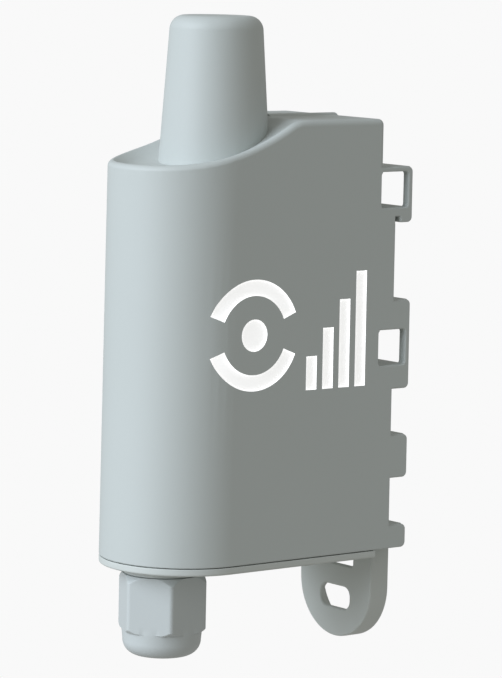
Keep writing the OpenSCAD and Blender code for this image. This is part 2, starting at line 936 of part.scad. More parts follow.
// Tube of one radius swept along a path
module tube(p, r, sides, up) {
    rings = [for (i = [0:len(p) - 1])
        let (d = path_dir(p, i), u = side_of(d, up), v = cross(u, d))
            for (k = [0:sides - 1])
                p[i] + r * (cos(360 * k / sides) * u + sin(360 * k / sides) * v)];
    walls = [for (i = [0:len(p) - 2], k = [0:sides - 1])
        let (a = i * sides + k, b = i * sides + (k + 1) % sides)
            [a, b, b + sides, a + sides]];
    polyhedron(points = rings, faces = concat([[for (k = [0:sides - 1]) sides - 1 - k]], walls,
        [[for (k = [0:sides - 1]) (len(p) - 1) * sides + k]]), convexity = 10);
}

module aerial_coil() {
    color([0.80, 0.62, 0.28])
        in_frame()
            tube(coil_path, coil_wire / 2, coil_sides, [0.02, 0.01, 1]);
}

// Primary cell with a raised positive cap
module power_cell() {
    cap_l = 1.2;
    color([0.86, 0.87, 0.85])
        in_frame()
            translate([cell_x, cell_y, cell_z]) {
                rotate_extrude()
                    polygon([[0, 0], [cell_r - 0.6, 0], [cell_r, 0.6], [cell_r, cell_l - cap_l - 0.6],
                        [cell_r - 0.6, cell_l - cap_l], [0, cell_l - cap_l]]);
                cylinder(h = cell_l, r = 2.6, $fn = 48);
            }
}

// Two spring clips that carry the cell on the board
module cell_clips() {
    color([0.80, 0.80, 0.78])
        in_frame()
            for (z = [cell_z + 5, cell_z + cell_l - 6 - clip_w])
                translate([cell_x, cell_y, z])
                    rotate([0, 0, clip_open])
                        rotate_extrude(angle = 360 - 2 * clip_open)
                            translate([cell_r, 0])
                                square([clip_t, clip_w]);
}

// Routes of the two leads, from the cap and from the foot of the cell to the plug
lead_x = board_face + 2.2;
lead_end = socket_pos[1] + plug_size[2] - plug_seat;
cell_top = cell_z + cell_l;
cap_lead = [[cell_x, cell_y, cell_top], [cell_x, cell_y, cell_top + 1], [cell_x, cell_y - 1.6, cell_top + 2],
    [cell_x, cell_y - 5.5, cell_top + 2], [cell_x, cell_y - 8.6, cell_top + 0.4],
    [cell_x - 0.4, cell_y - 9.6, cell_top - 3], [cell_x - 1.6, cell_y - 10.4, cell_top - 7],
    [lead_x + 0.8, socket_pos[0] - 0.6, lead_end + 6], [lead_x, socket_pos[0] - 1, lead_end + 3],
    [lead_x, socket_pos[0] - 1, lead_end]];
foot_lead = [[cell_x, cell_y, cell_z], [cell_x, cell_y, cell_z - 1], [cell_x, cell_y - 1.8, cell_z - 1.9],
    [cell_x, cell_y - 6.5, cell_z - 1.6], [cell_x, cell_y - 9, cell_z + 1],
    [cell_x - 0.2, cell_y - 9.6, cell_z + 6], [cell_x - 0.6, cell_y - 9.7, cell_z + 15],
    [cell_x - 1.2, cell_y - 9.8, cell_z + 24],
    [cell_x - 2, cell_y - 10, cell_z + 32], [cell_x - 3.6, cell_y - 11, lead_end + 3.4],
    [lead_x + 0.4, socket_pos[0] + 1.5, lead_end + 3.6], [lead_x, socket_pos[0] + 1, lead_end + 1.6],
    [lead_x, socket_pos[0] + 1, lead_end]];

module cell_leads() {
    color([0.70, 0.12, 0.10])
        in_frame()
            for (route = [cap_lead, foot_lead])
                tube(route, lead_wire_r, 8, [1, 0.31, 0.02]);
}

module cell_plug() {
    color([0.92, 0.92, 0.90])
        in_frame()
            translate([board_face + socket_wall, socket_pos[0] - plug_size[1] / 2, socket_pos[1] - plug_seat])
                cube(plug_size);
}

module cell_socket() {
    color([0.94, 0.93, 0.88])
        in_frame()
            translate([board_face, socket_pos[0] - socket_size[1] / 2, socket_pos[1] - socket_size[2]])
                difference() {
                    cube(socket_size);
                    translate([socket_wall - plug_fit, (socket_size[1] - plug_size[1]) / 2 - plug_fit,
                            socket_size[2] - plug_seat])
                        cube([plug_size[0] + 2 * plug_fit, plug_size[1] + 2 * plug_fit, plug_seat + 1]);
                }
}

module radio_module() {
    color([0.72, 0.73, 0.74])
        in_frame()
            translate([board_back, radio_pos[0], radio_pos[1]])
                mirror([1, 0, 0]) {
                    cube([0.8, radio_size[1], radio_size[2]]);
                    translate([0.8, 0.8, 0.8])
                        cube([radio_size[0] - 0.8, radio_size[1] - 1.6, radio_size[2] - 1.6]);
                }
}

module controller_chip() {
    color([0.12, 0.12, 0.13])
        in_frame()
            translate([board_back, chip_pos[0], chip_pos[1]])
                mirror([1, 0, 0])
                    cube(chip_size);
}

// Buffer capacitor that lies along the board beside the cell
module buffer_capacitor() {
    color([0.16, 0.20, 0.40])
        in_frame()
            translate([board_back - buffer_r, buffer_pos[0], buffer_pos[1]]) {
                cylinder(h = buffer_l, r = buffer_r, $fn = 48);
                for (y = [-2 * buffer_leg, buffer_leg])
                    translate([0, y, buffer_l])
                        cube([buffer_r, buffer_leg, buffer_leg]);
            }
}

module terminal_block() {
    color([0.20, 0.45, 0.30])
        in_frame()
            difference() {
                translate([board_face, block_y, block_z])
                    cube([block_x, block_w, block_d]);
                for (y = pole_y) {
                    translate([board_face + cage_start - cage_travel - cage_gap, y - cage_side / 2 - cage_gap,
                            term_screw_z - cage_side / 2 - cage_gap])
                        cube([cage_h + cage_travel + 2 * cage_gap, cage_side + 2 * cage_gap,
                            cage_side + 2 * cage_gap]);
                    translate([board_face + cage_start - cage_travel, y - entry_side / 2, block_z - 1])
                        cube([cage_h + cage_travel - cage_roof, entry_side, block_d / 2 + 1]);
                    translate([board_face, y, term_screw_z])
                        rotate([0, 90, 0]) {
                            translate([0, 0, block_x - term_head_sink - term_head_t])
                                cylinder(h = block_x, r = term_head_r + term_gap, $fn = 32);
                            translate([0, 0, cage_start + cage_h])
                                cylinder(h = block_x, r = term_screw_r + term_gap, $fn = 32);
                        }
                }
            }
}

// Slotted clamping screw that turns in its pole without moving along it
module terminal_screw(i) {
    head_x = board_face + block_x - term_head_sink;
    color([0.78, 0.78, 0.80])
        in_frame()
            translate([0, pole_y[i], term_screw_z])
                rotate([0, 90, 0]) {
                    difference() {
                        translate([0, 0, head_x - term_head_t])
                            cylinder(h = term_head_t, r = term_head_r, $fn = 32);
                        translate([-term_head_r - 1, -term_slot / 2, head_x - term_head_t / 2])
                            cube([2 * term_head_r + 2, term_slot, term_head_t]);
                    }
                    translate([0, 0, head_x - term_head_t - term_shank])
                        cylinder(h = term_shank, r = term_screw_r, $fn = 32);
                }
}

module terminal_screw_1() {
    terminal_screw(0);
}

module terminal_screw_2() {
    terminal_screw(1);
}

// Steel cage that the clamping screw lifts against the wire
module clamp_cage(i) {
    color([0.80, 0.78, 0.70])
        in_frame()
            translate([board_face + cage_start, pole_y[i] - cage_side / 2, term_screw_z - cage_side / 2])
                difference() {
                    cube([cage_h, cage_side, cage_side]);
                    translate([cage_floor, cage_wall, -1])
                        cube([cage_h - cage_roof - cage_floor, cage_side - 2 * cage_wall, cage_side + 2]);
                    translate([cage_h - cage_roof - eps, cage_side / 2, cage_side / 2])
                        rotate([0, 90, 0])
                            cylinder(h = cage_roof + 1, r = term_screw_r + term_gap, $fn = 32);
                }
}

module clamp_cage_1() {
    clamp_cage(0);
}

module clamp_cage_2() {
    clamp_cage(1);
}

// Glass reed switch with its bent wires
module reed_switch() {
    color([0.55, 0.70, 0.60])
        in_frame()
            translate([board_back - reed_lift, reed_pos[0], reed_pos[1]]) {
                cylinder(h = reed_l, r = reed_r, $fn = 32);
                for (low = [true, false]) {
                    translate([-reed_wire / 2, -reed_wire / 2, low ? -reed_leg : reed_l])
                        cube([reed_wire, reed_wire, reed_leg]);
                    translate([-reed_wire / 2, -reed_wire / 2, low ? -reed_leg : reed_l + reed_leg - reed_wire])
                        cube([reed_lift + reed_wire / 2, reed_wire, reed_wire]);
                }
            }
}

module status_lights() {
    color([0.85, 0.80, 0.45])
        in_frame()
            for (y = light_y)
                translate([board_back - light_size[0], y, light_z])
                    cube(light_size);
}

// Small resistors and capacitors, in a row under the radio module and in a column beside the chip
module small_parts() {
    color([0.60, 0.50, 0.38])
        in_frame() {
            for (i = [0:part_count[0] - 1])
                translate([board_back - part_size[0], part_row[0] + i * part_pitch[0], part_row[1]])
                    cube(part_size);
            for (i = [0:part_count[1] - 1])
                translate([board_back - part_size[0], chip_pos[0] + chip_size[1] + part_gap,
                        chip_pos[1] + part_size[2] + i * part_pitch[1]])
                    cube([part_size[0], part_size[2], part_size[1]]);
        }
}

// Header with a row of pins for service tools
module service_header() {
    color([0.15, 0.15, 0.16])
        in_frame()
            translate([board_face, header_pos[0], header_pos[1]]) {
                cube([header_w, header_w, pin_count * pin_pitch]);
                for (i = [0:pin_count - 1])
                    translate([header_w - eps, (header_w - pin_side) / 2,
                            (i + 0.5) * pin_pitch - pin_side / 2])
                        cube([pin_l, pin_side, pin_side]);
            }
}

upper_case();
lower_case();
case_seal();
case_screw_1();
case_screw_2();
screw_seal_1();
screw_seal_2();
gland_claw();
gland_seal();
gland_ring();
gland_nut();
main_board();
board_screws();
aerial_coil();
power_cell();
cell_clips();
cell_leads();
cell_plug();
cell_socket();
radio_module();
controller_chip();
buffer_capacitor();
terminal_block();
terminal_screw_1();
terminal_screw_2();
clamp_cage_1();
clamp_cage_2();
reed_switch();
status_lights();
small_parts();
service_header();
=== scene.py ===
# %% [markdown]
# # A wireless sensor housing, dressed for its photograph
# The real object is a slim box of light grey plastic for a wall, a pole or a rail, with an aerial dome on
# top and a cable gland underneath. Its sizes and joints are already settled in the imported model, so this
# script only adds what a camera sees: softened edges, the texture of the mould, rubber, steel and copper,
# and the light.

# %% Load the model as the frame
import bpy
import bmesh
import json
import math
from mathutils import Matrix, Vector

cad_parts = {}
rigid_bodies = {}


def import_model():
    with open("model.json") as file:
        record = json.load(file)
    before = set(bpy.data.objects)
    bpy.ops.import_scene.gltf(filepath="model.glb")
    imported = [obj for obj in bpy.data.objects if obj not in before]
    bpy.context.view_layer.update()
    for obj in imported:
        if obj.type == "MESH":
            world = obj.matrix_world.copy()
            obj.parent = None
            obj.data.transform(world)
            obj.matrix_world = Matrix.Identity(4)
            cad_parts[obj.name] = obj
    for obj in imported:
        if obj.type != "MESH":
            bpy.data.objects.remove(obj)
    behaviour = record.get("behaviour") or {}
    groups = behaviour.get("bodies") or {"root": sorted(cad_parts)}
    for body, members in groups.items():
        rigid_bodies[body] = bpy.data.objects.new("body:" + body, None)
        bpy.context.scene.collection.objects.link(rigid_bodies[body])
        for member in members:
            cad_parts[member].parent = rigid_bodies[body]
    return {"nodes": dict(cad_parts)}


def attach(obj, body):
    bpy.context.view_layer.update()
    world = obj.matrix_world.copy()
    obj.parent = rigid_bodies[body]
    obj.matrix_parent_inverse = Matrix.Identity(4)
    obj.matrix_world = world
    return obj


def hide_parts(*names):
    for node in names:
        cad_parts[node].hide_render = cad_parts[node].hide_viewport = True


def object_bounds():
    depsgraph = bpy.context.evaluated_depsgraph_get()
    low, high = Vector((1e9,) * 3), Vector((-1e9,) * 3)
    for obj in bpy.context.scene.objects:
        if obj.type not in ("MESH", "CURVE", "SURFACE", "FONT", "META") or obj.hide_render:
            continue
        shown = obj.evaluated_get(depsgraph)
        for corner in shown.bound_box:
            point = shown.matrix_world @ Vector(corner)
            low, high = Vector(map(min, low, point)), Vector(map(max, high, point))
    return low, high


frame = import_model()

NODES = frame["nodes"]
MM = 0.001
cad_low, cad_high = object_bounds()
print("model box in mm:", [round(v / MM, 1) for v in cad_high - cad_low])

# %% [markdown]
# ## The camera
# The photograph was taken from about 0.6 m with a long lens, a little above the middle of the housing and
# with its round front turned to the left. The place and the turn below were found by fitting the edges of
# the case, so the render falls on the photograph edge by edge. A longer lens from further off would
# flatten the taper.

# %% Place the camera
# In metres and radians, with the turn from +Y towards -X; the lens is for a sensor 36 mm wide.
CAMERA_AT = Vector((0.466155, -0.385983, 0.114730))
CAMERA_TURN = math.radians(52.093)
CAMERA_DOWN = math.radians(6.739)
CAMERA_ROLL = 0.02116
LENS_MM = 191.75


def add_object(name, data):
    made = bpy.data.objects.new(name, data)
    bpy.context.scene.collection.objects.link(made)
    return made


def camera_axes(turn, down, roll):
    """Right, up and forward of a camera that looks along +Y before it is turned."""
    forward = Vector((-math.sin(turn) * math.cos(down), math.cos(turn) * math.cos(down), -math.sin(down)))
    level = Vector((math.cos(turn), math.sin(turn), 0.0))
    upright = level.cross(forward)
    right = level * math.cos(roll) + upright * math.sin(roll)
    up = upright * math.cos(roll) - level * math.sin(roll)
    return right, up, forward


def add_camera():
    lens = bpy.data.cameras.new("camera")
    lens.lens = LENS_MM
    lens.sensor_width = 36.0
    lens.clip_start = 0.05
    lens.clip_end = 30.0
    camera = add_object("camera", lens)
    right, up, forward = camera_axes(CAMERA_TURN, CAMERA_DOWN, CAMERA_ROLL)
    turn = Matrix((right, up, -forward)).transposed().to_4x4()
    camera.matrix_world = Matrix.Translation(CAMERA_AT) @ turn
    bpy.context.scene.camera = camera


add_camera()
print("camera distance in mm:", round((CAMERA_AT - (cad_low + cad_high) / 2).length / MM))

# %% [markdown]
# ## Light
# The photograph has one broad soft light from the left, which leaves the wide face in open shade. An area
# light would do it, but it falls off across the ground. A sun with a wide disc doesn't, and the pale
# world fills the shade. Standard view keeps the greys as they are, where a film-like view would bend
# them.

# %% Add the light
SHADE = 0.385
# The sun stands 7 degrees left of straight ahead of the round front, 25 degrees up, 52 degrees wide.
KEY_TURN, KEY_HEIGHT, KEY_POWER, KEY_WIDTH = -7, 25, 3.3, 52
KEY_COLOUR = (0.83, 0.90, 1.0)


def add_world():
    world = bpy.data.worlds.new("studio")
    world.use_nodes = True
    back = world.node_tree.nodes["Background"]
    back.inputs["Color"].default_value = (1.0, 1.0, 0.96, 1.0)
    back.inputs["Strength"].default_value = SHADE
    bpy.context.scene.world = world


def add_sun(name, azimuth, elevation, strength, width, colour):
    """A sun that shines from an azimuth (0 is -Y, 90 is +X) and an elevation, in degrees."""
    light = bpy.data.lights.new(name, "SUN")
    light.energy = strength
    light.angle = math.radians(width)
    light.color = colour
    sun = add_object(name, light)
    a = math.radians(azimuth)
    e = math.radians(elevation)
    source = Vector((math.sin(a) * math.cos(e), -math.cos(a) * math.cos(e), math.sin(e)))
    sun.rotation_mode = "QUATERNION"
    sun.rotation_quaternion = source.to_track_quat("Z", "Y")


bpy.context.scene.view_settings.view_transform = "Standard"
add_world()
add_sun("key", KEY_TURN, KEY_HEIGHT, KEY_POWER, KEY_WIDTH, KEY_COLOUR)
print("key", KEY_POWER, "shade", SHADE)

# %% [markdown]
# ## Floor
# The housing in the photograph hangs on an even white ground, free of any shadow. The floor here lies
# well below it and rises into a wall all round, so that no view from the side has a horizon. It shines
# evenly by itself and neither lights the housing nor shows in it. A white backdrop without a floor would
# leave it afloat in nothing.

# %% Add the floor
GROUND = 0.947
# In metres: how far below the housing, how wide the flat, the bend into the wall and the wall itself.
FLOOR_DROP, FLOOR_FLAT, FLOOR_BEND, FLOOR_WALL = 0.35, 1.8, 0.4, 2.4


def add_floor(sides=96):
    """A round floor that rises into a wall all round, evenly lit."""
    drop = cad_low.z - FLOOR_DROP
    rings = [(FLOOR_FLAT / 2, drop), (FLOOR_FLAT, drop)]
    for degrees in range(10, 91, 10):
        a = math.radians(degrees)
        rings.append((FLOOR_FLAT + FLOOR_BEND * math.sin(a), drop + FLOOR_BEND * (1 - math.cos(a))))
    rings.append((rings[-1][0], drop + FLOOR_WALL))
    points = [(0.0, 0.0, drop)]
    points += [(r * math.cos(2 * math.pi * i / sides), r * math.sin(2 * math.pi * i / sides), z)
               for r, z in rings for i in range(sides)]
    faces = [(0, 1 + i, 1 + (i + 1) % sides) for i in range(sides)]
    for k in range(len(rings) - 1):
        low, high = 1 + k * sides, 1 + (k + 1) * sides
        faces += [(low + i, high + i, high + (i + 1) % sides, low + (i + 1) % sides) for i in range(sides)]
    mesh = bpy.data.meshes.new("floor")
    mesh.from_pydata(points, [], faces)
    for face in mesh.polygons:
        face.use_smooth = True
    floor = add_object("floor", mesh)
    floor.visible_diffuse = False
    floor.visible_glossy = False
    floor.visible_shadow = False
    return floor


def paint_floor(floor):
    material = bpy.data.materials.new("pale_floor")
    material.use_nodes = True
    shader = material.node_tree.nodes["Principled BSDF"]
    shader.inputs["Base Color"].default_value = (0.0, 0.0, 0.0, 1.0)
    shader.inputs["Roughness"].default_value = 1.0
    shader.inputs["Specular IOR Level"].default_value = 0.0
    shader.inputs["Emission Color"].default_value = (1.0, 1.0, 1.0, 1.0)
    shader.inputs["Emission Strength"].default_value = GROUND
    floor.data.materials.append(material)


floor = add_floor()
paint_floor(floor)
print("ground", GROUND, "floor faces", len(floor.data.polygons))

# %% [markdown]
# ## Plastic
# The case is moulded in a tool with a fine spark-eroded skin. It could be a flat grey, but then its
# highlights would be too clean. Two noises at different sizes give it a faint grain and a slow drift of
# tone, and the bump stays far under a tenth of a millimetre.

# %% Make a helper for materials
def blank(name):
    material = bpy.data.materials.new(name)
    material.use_nodes = True
    nodes = material.node_tree.nodes
    return material, nodes, material.node_tree.links, nodes["Principled BSDF"]


def drift(nodes, links, scale, colour, spread, detail=4.0):
    """A colour that wanders a little round its mean with a noise on object coordinates."""
    place = nodes.new("ShaderNodeTexCoord")
    noise = nodes.new("ShaderNodeTexNoise")
    noise.inputs["Scale"].default_value = scale
    noise.inputs["Detail"].default_value = detail
    links.new(place.outputs["Object"], noise.inputs["Vector"])
    ramp = nodes.new("ShaderNodeValToRGB")
    low, high = ramp.color_ramp.elements
    low.position = 0.3
    high.position = 0.7
    low.color = tuple(c * (1 - spread) for c in colour) + (1.0,)
    high.color = tuple(min(c * (1 + spread), 1.0) for c in colour) + (1.0,)
    links.new(noise.outputs["Fac"], ramp.inputs["Fac"])
    return ramp.outputs["Color"], place


def grain(nodes, links, place, scale, depth):
    """A bump from fine noise, with its depth in metres."""
    noise = nodes.new("ShaderNodeTexNoise")
    noise.inputs["Scale"].default_value = scale
    noise.inputs["Detail"].default_value = 6.0
    links.new(place.outputs["Object"], noise.inputs["Vector"])
    bump = nodes.new("ShaderNodeBump")
    bump.inputs["Distance"].default_value = depth
    bump.inputs["Strength"].default_value = 1.0
    links.new(noise.outputs["Fac"], bump.inputs["Height"])
    return bump.outputs["Normal"]


def solid(name, colour, roughness, drift_scale=60.0, spread=0.03, grain_scale=2500.0, depth=0.00002,
          metallic=0.0, specular=0.5):
    """A material of one colour that drifts by a share of itself, with a grain of a depth in metres."""
    material, nodes, links, shader = blank(name)
    tone, place = drift(nodes, links, drift_scale, colour, spread)
    links.new(tone, shader.inputs["Base Color"])
    links.new(grain(nodes, links, place, grain_scale, depth), shader.inputs["Normal"])
    shader.inputs["Roughness"].default_value = roughness
    shader.inputs["Metallic"].default_value = metallic
    shader.inputs["Specular IOR Level"].default_value = specular
    return material


print("material helpers made")

# %% Mix the greys
case_grey = solid("case_grey", (0.500, 0.535, 0.520), 0.52, 25.0, 0.012, 2200.0, 0.000012, specular=0.4)
base_grey = solid("base_grey", (0.550, 0.580, 0.556), 0.52, 25.0, 0.012, 2200.0, 0.000012, specular=0.4)
nut_grey = solid("nut_grey", (0.510, 0.545, 0.540), 0.42, 40.0, 0.015, 1500.0, 0.000008)
print("greys made")

# %% [markdown]
# ## Softened copies of the moulded pieces
# A moulded edge is never sharp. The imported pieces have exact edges, so each visible moulding is copied,
# its loose triangles are merged, and the edges that show get a round of their own width. Rounding edge
# after edge would leave torn corners, so a bevel weight on each edge does it in one pass. Flat faces in
# the shape of a U or a C are first split by a plane, because their outline would otherwise close into a
# sheet over the opening.

# %% Make helpers for places and plain meshes
# The case counts from its round front and its parting line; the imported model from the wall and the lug.
CASE_TO_PART = Vector((0.0, -50.0, 10.2))
UP, BACK, ACROSS = (0.0, 0.0, 1.0), (0.0, 1.0, 0.0), (1.0, 0.0, 0.0)


def in_case(point):
    """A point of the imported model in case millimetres: Y from the round front, Z from the parting line."""
    return Vector(point) / MM - CASE_TO_PART


def in_part(point):
    """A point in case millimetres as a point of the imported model, in metres."""
    return (Vector(point) + CASE_TO_PART) * MM


def settle(piece):
    """Turns a piece and its modifiers into a plain mesh."""
    plain = bpy.data.meshes.new_from_object(piece.evaluated_get(bpy.context.evaluated_depsgraph_get()))
    piece.modifiers.clear()
    piece.data = plain
    plain.name = piece.name
    return piece


def even_normals(piece, weight):
    """Lets large flat faces rule the shading, so that they stay flat next to a round."""
    modifier = piece.modifiers.new("face_normals", "WEIGHTED_NORMAL")
    modifier.keep_sharp = True
    modifier.weight = weight
    return settle(piece)


print("case to part in mm:", tuple(CASE_TO_PART))

# %% Copy and round a piece
# An edge counts as one from this turn on, in degrees; below it lies the faceting of a curve.
SHARP_FROM = 24.0


def split_faces(sheet, point, normal):
    """Splits every face at a plane, and marks the cut as a seam that isn't dissolved again."""
    everything = list(sheet.verts) + list(sheet.edges) + list(sheet.faces)
    cut = bmesh.ops.bisect_plane(sheet, geom=everything, plane_co=in_part(point), plane_no=normal,
                                 dist=0.0001 * MM)
    for part in cut["geom_cut"]:
        if isinstance(part, bmesh.types.BMEdge):
            part.seam = True


def weigh_edges(sheet, width_of):
    """Gives each edge its round as a bevel weight, where 1 stands for a millimetre."""
    weights = sheet.edges.layers.float.new("bevel_weight_edge")
    count = 0
    for edge in sheet.edges:
        if len(edge.link_faces) == 2:
            width = width_of(edge, math.degrees(edge.calc_face_angle(0.0)))
            if width > 0.0:
                edge[weights] = width
                count += 1
    return count


def rounded_copy(node, name, width_of, planes=(), segments=3, reshape=None):
    """Merges a node's triangles and rounds each edge by the width in millimetres that width_of gives it.

    Each plane is a point in case millimetres and a normal. A reshape moves corners, given and returned in
    case millimetres, before anything is rounded."""
    sheet = bmesh.new()
    sheet.from_mesh(NODES[node].data)
    bmesh.ops.remove_doubles(sheet, verts=sheet.verts, dist=0.002 * MM)
    for point, normal in planes:
        split_faces(sheet, point, normal)
    bmesh.ops.dissolve_limit(sheet, angle_limit=math.radians(0.05), verts=sheet.verts, edges=sheet.edges,
                             delimit={"SEAM"})
    if reshape:
        for corner in sheet.verts:
            corner.co = in_part(reshape(in_case(corner.co)))
    count = weigh_edges(sheet, width_of)
    mesh = bpy.data.meshes.new(name)
    sheet.to_mesh(mesh)
    sheet.free()
    for face in mesh.polygons:
        face.use_smooth = True
    piece = add_object(name, mesh)
    bevel = piece.modifiers.new("soft_edges", "BEVEL")
    bevel.limit_method = "WEIGHT"
    bevel.width = MM
    bevel.segments = segments
    bevel.use_clamp_overlap = False
    bevel.miter_outer = "MITER_ARC"
    even_normals(piece, 80)
    print(name, "rounded edges:", count, "faces:", len(piece.data.polygons))
    return piece

# %% Cut a body away and shade by angle
def closed_body(name, points, faces):
    """An object from points in case millimetres, with its faces turned outwards."""
    mesh = bpy.data.meshes.new(name)
    mesh.from_pydata([in_part(p) for p in points], [], faces)
    sheet = bmesh.new()
    sheet.from_mesh(mesh)
    bmesh.ops.recalc_face_normals(sheet, faces=sheet.faces)
    sheet.to_mesh(mesh)
    sheet.free()
    return add_object(name, mesh)


def cut_away(piece, cutter):
    cut = piece.modifiers.new("cut", "BOOLEAN")
    cut.operation = "DIFFERENCE"
    cut.solver = "EXACT"
    cut.object = cutter
    settle(piece)
    bpy.data.objects.remove(cutter)


def smooth_by_angle(piece, limit):
    """Smooth shading with the edges over the limit kept sharp, and flat faces that stay flat."""
    sheet = bmesh.new()
    sheet.from_mesh(piece.data)
    for face in sheet.faces:
        face.smooth = True
    for edge in sheet.edges:
        edge.smooth = len(edge.link_faces) == 2 and edge.calc_face_angle(0.0) < math.radians(limit)
    sheet.to_mesh(piece.data)
    sheet.free()
    return even_normals(piece, 50)


print("cutting helpers made")

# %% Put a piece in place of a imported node
def in_material(piece, material):
    piece.data.materials.clear()
    piece.data.materials.append(material)
    return piece


def placed(piece, node, body):
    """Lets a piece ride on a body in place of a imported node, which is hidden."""
    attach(piece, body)
    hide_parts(node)
    print(piece.name, "stands for", node, "on", body)

# %% [markdown]
# ## The case's edges
# The shell is one moulding that leans inwards by about a third of a degree, so that it leaves its tool.
# Its front is round and its back carries tabs, ribs and windows. Their edges get a small round, and the
# lower edge at the parting line a smaller one. One width for all would swallow the thin lips. The ledges
# over two windows stay sharp, because a round there would fold over itself.

# %% Choose the case's rounds
# The lean of the walls, half the thickness at the parting line, and places in depth and height.
DRAFT = math.tan(math.radians(0.37))
HALF_WIDTH = 13.5
REAR_Y = 43.9
WALL_Y = 50.0
FLANGE_TOP = 63.5
# Rounds in millimetres, and the ledges that stay sharp as (Y, Z).
BACK_ROUND, FOOT_ROUND = 0.28, 0.2
SHARP_LEDGES = [(REAR_Y, 36.6), (WALL_Y, 62.7)]


def face_at(y, z):
    """Half width of the outside at a depth and height, on the flat side and round the front."""
    r = HALF_WIDTH - z * DRAFT
    if y >= HALF_WIDTH:
        return r
    return math.sqrt(r * r - (HALF_WIDTH - y) ** 2)


def middle_of(edge):
    return in_case((edge.verts[0].co + edge.verts[1].co) / 2)


def case_edge(edge, angle):
    middle = middle_of(edge)
    if angle < SHARP_FROM or not edge.is_convex or middle.z > FLANGE_TOP + 0.1:
        return 0.0
    if any(abs(middle.z - z) < 0.02 and abs(middle.y - y) < 0.02 for y, z in SHARP_LEDGES):
        return 0.0
    if middle.y > REAR_Y - 0.4:
        return BACK_ROUND
    if middle.z < 0.6 and abs(middle.x) > face_at(middle.y, 0.0) - 0.3:
        return FOOT_ROUND
    return 0.0


# Planes that split U-shaped faces: through both windows, through the open foot and along the back.
WINDOW_MIDDLES = (59.75, 33.65)
BEHIND_DOME = 30.0
case_planes = [((0, 0, z), UP) for z in WINDOW_MIDDLES]
case_planes += [((0, y, 0), BACK) for y in (BEHIND_DOME, REAR_Y)]
case_skin = rounded_copy("upper_case", "case_skin", case_edge, case_planes)

# %% [markdown]
# ## The swept top
# From the flat back the top sinks in a wide arc to the front, and round the front a small rim stands over
# a hollow in which the dome sits. A bevel can't follow an edge that bends both ways, so a shallow body
# with the dome's place left out takes the hollow away, and a band along the rim leaves the round behind.

# %% Describe the top and the path of its rim
# Height at the front, radius and end of the arc, height of the flat part and the round at its back.
LOW_TOP = 64.3
SWEEP_R = 50.4
CREST_Y = 25.79
PLATEAU = 71.4
REAR_R = 1.0


def top_at(y):
    """Height of the top over a depth, and the side view's normal there as (Y, Z)."""
    if y < CREST_Y:
        centre = LOW_TOP + SWEEP_R
        z = centre - math.sqrt(SWEEP_R ** 2 - y ** 2)
        return z, (-y / SWEEP_R, (centre - z) / SWEEP_R)
    return PLATEAU, (0.0, 1.0)


def side_path():
    """The rim in the side view, as (Y, Z, normal), from the foot of the back up and forward."""
    path = [(REAR_Y, FLANGE_TOP - 0.05, (1.0, 0.0)), (REAR_Y, PLATEAU - REAR_R, (1.0, 0.0))]
    for degrees in range(10, 91, 10):
        c, s = math.cos(math.radians(degrees)), math.sin(math.radians(degrees))
        path.append((REAR_Y - REAR_R + REAR_R * c, PLATEAU - REAR_R + REAR_R * s, (c, s)))
    path += [(y, PLATEAU, (0.0, 1.0)) for y in (40.0, 36.0, 32.0, 29.0, 26.7)]
    y = 25.0
    while y > HALF_WIDTH:
        path.append((y, *top_at(y)))
        y -= 1.2
    return path


def rim_path():
    """Corners of the rim with the normals of the side and of the top, from the right rear foot round."""
    right = [(Vector((HALF_WIDTH - z * DRAFT, y, z)), Vector(ACROSS), Vector((0.0, *n)))
             for y, z, n in side_path()]
    left = [(Vector((-c.x, c.y, c.z)), -Vector(ACROSS), n) for c, _, n in reversed(right)]
    front = []
    for degrees in range(90, -91, -3):
        c, s = math.cos(math.radians(degrees)), math.sin(math.radians(degrees))
        z = LOW_TOP
        for _ in range(4):
            r = HALF_WIDTH - z * DRAFT
            y = HALF_WIDTH - r * c
            z, n = top_at(y)
        front.append((Vector((r * s, y, z)), Vector((s, -c, 0.0)), Vector((0.0, *n))))
    return right + front + left


print("rim points:", len(rim_path()))

# %% Hollow the low part of the top round the dome
# Depth of the hollow, its way in from the wall, the run of its slope, and the cutter over the top.
DISH_DEPTH, DISH_EDGE, DISH_RUN, DISH_LIFT = 1.3, 0.85, 4.5, 0.06
# Depths between which the hollow ends towards the back.
DISH_FADE, DISH_END = 25.5, 28.8
# The dome's middle, its radius at the front's height and its taper.
DOME_Y, DOME_R, DOME_TAPER = 18.6, 9.05, math.tan(math.radians(3.84))


def share(value):
    return min(max(value, 0.0), 1.0)


def eased(value):
    """A share from 0 to 1 that starts and ends level."""
    t = share(value)
    return t * t * (3 - 2 * t)


def dish_layers(rows, columns):
    """The dish as points under and above it, row after row from the front to the back."""
    outline = HALF_WIDTH - LOW_TOP * DRAFT - DISH_EDGE
    first = HALF_WIDTH - outline + 0.1
    below, above = [], []
    for i in range(rows + 1):
        y = first + (DISH_END - first) * i / rows
        back = max(HALF_WIDTH - y, 0.0)
        reach = math.sqrt(outline ** 2 - back ** 2)
        fade = eased((DISH_END - y) / (DISH_END - DISH_FADE))
        for k in range(columns + 1):
            x = reach * (2 * k / columns - 1)
            inside = (outline - math.hypot(x, back)) / DISH_RUN
            sink = math.sin(min(inside, 1.0) * math.pi / 2) * fade
            z = top_at(y)[0] + DISH_LIFT
            below.append((x, y, z - 0.001 - (DISH_DEPTH + DISH_LIFT) * sink))
            above.append((x, y, z))
    return below, above


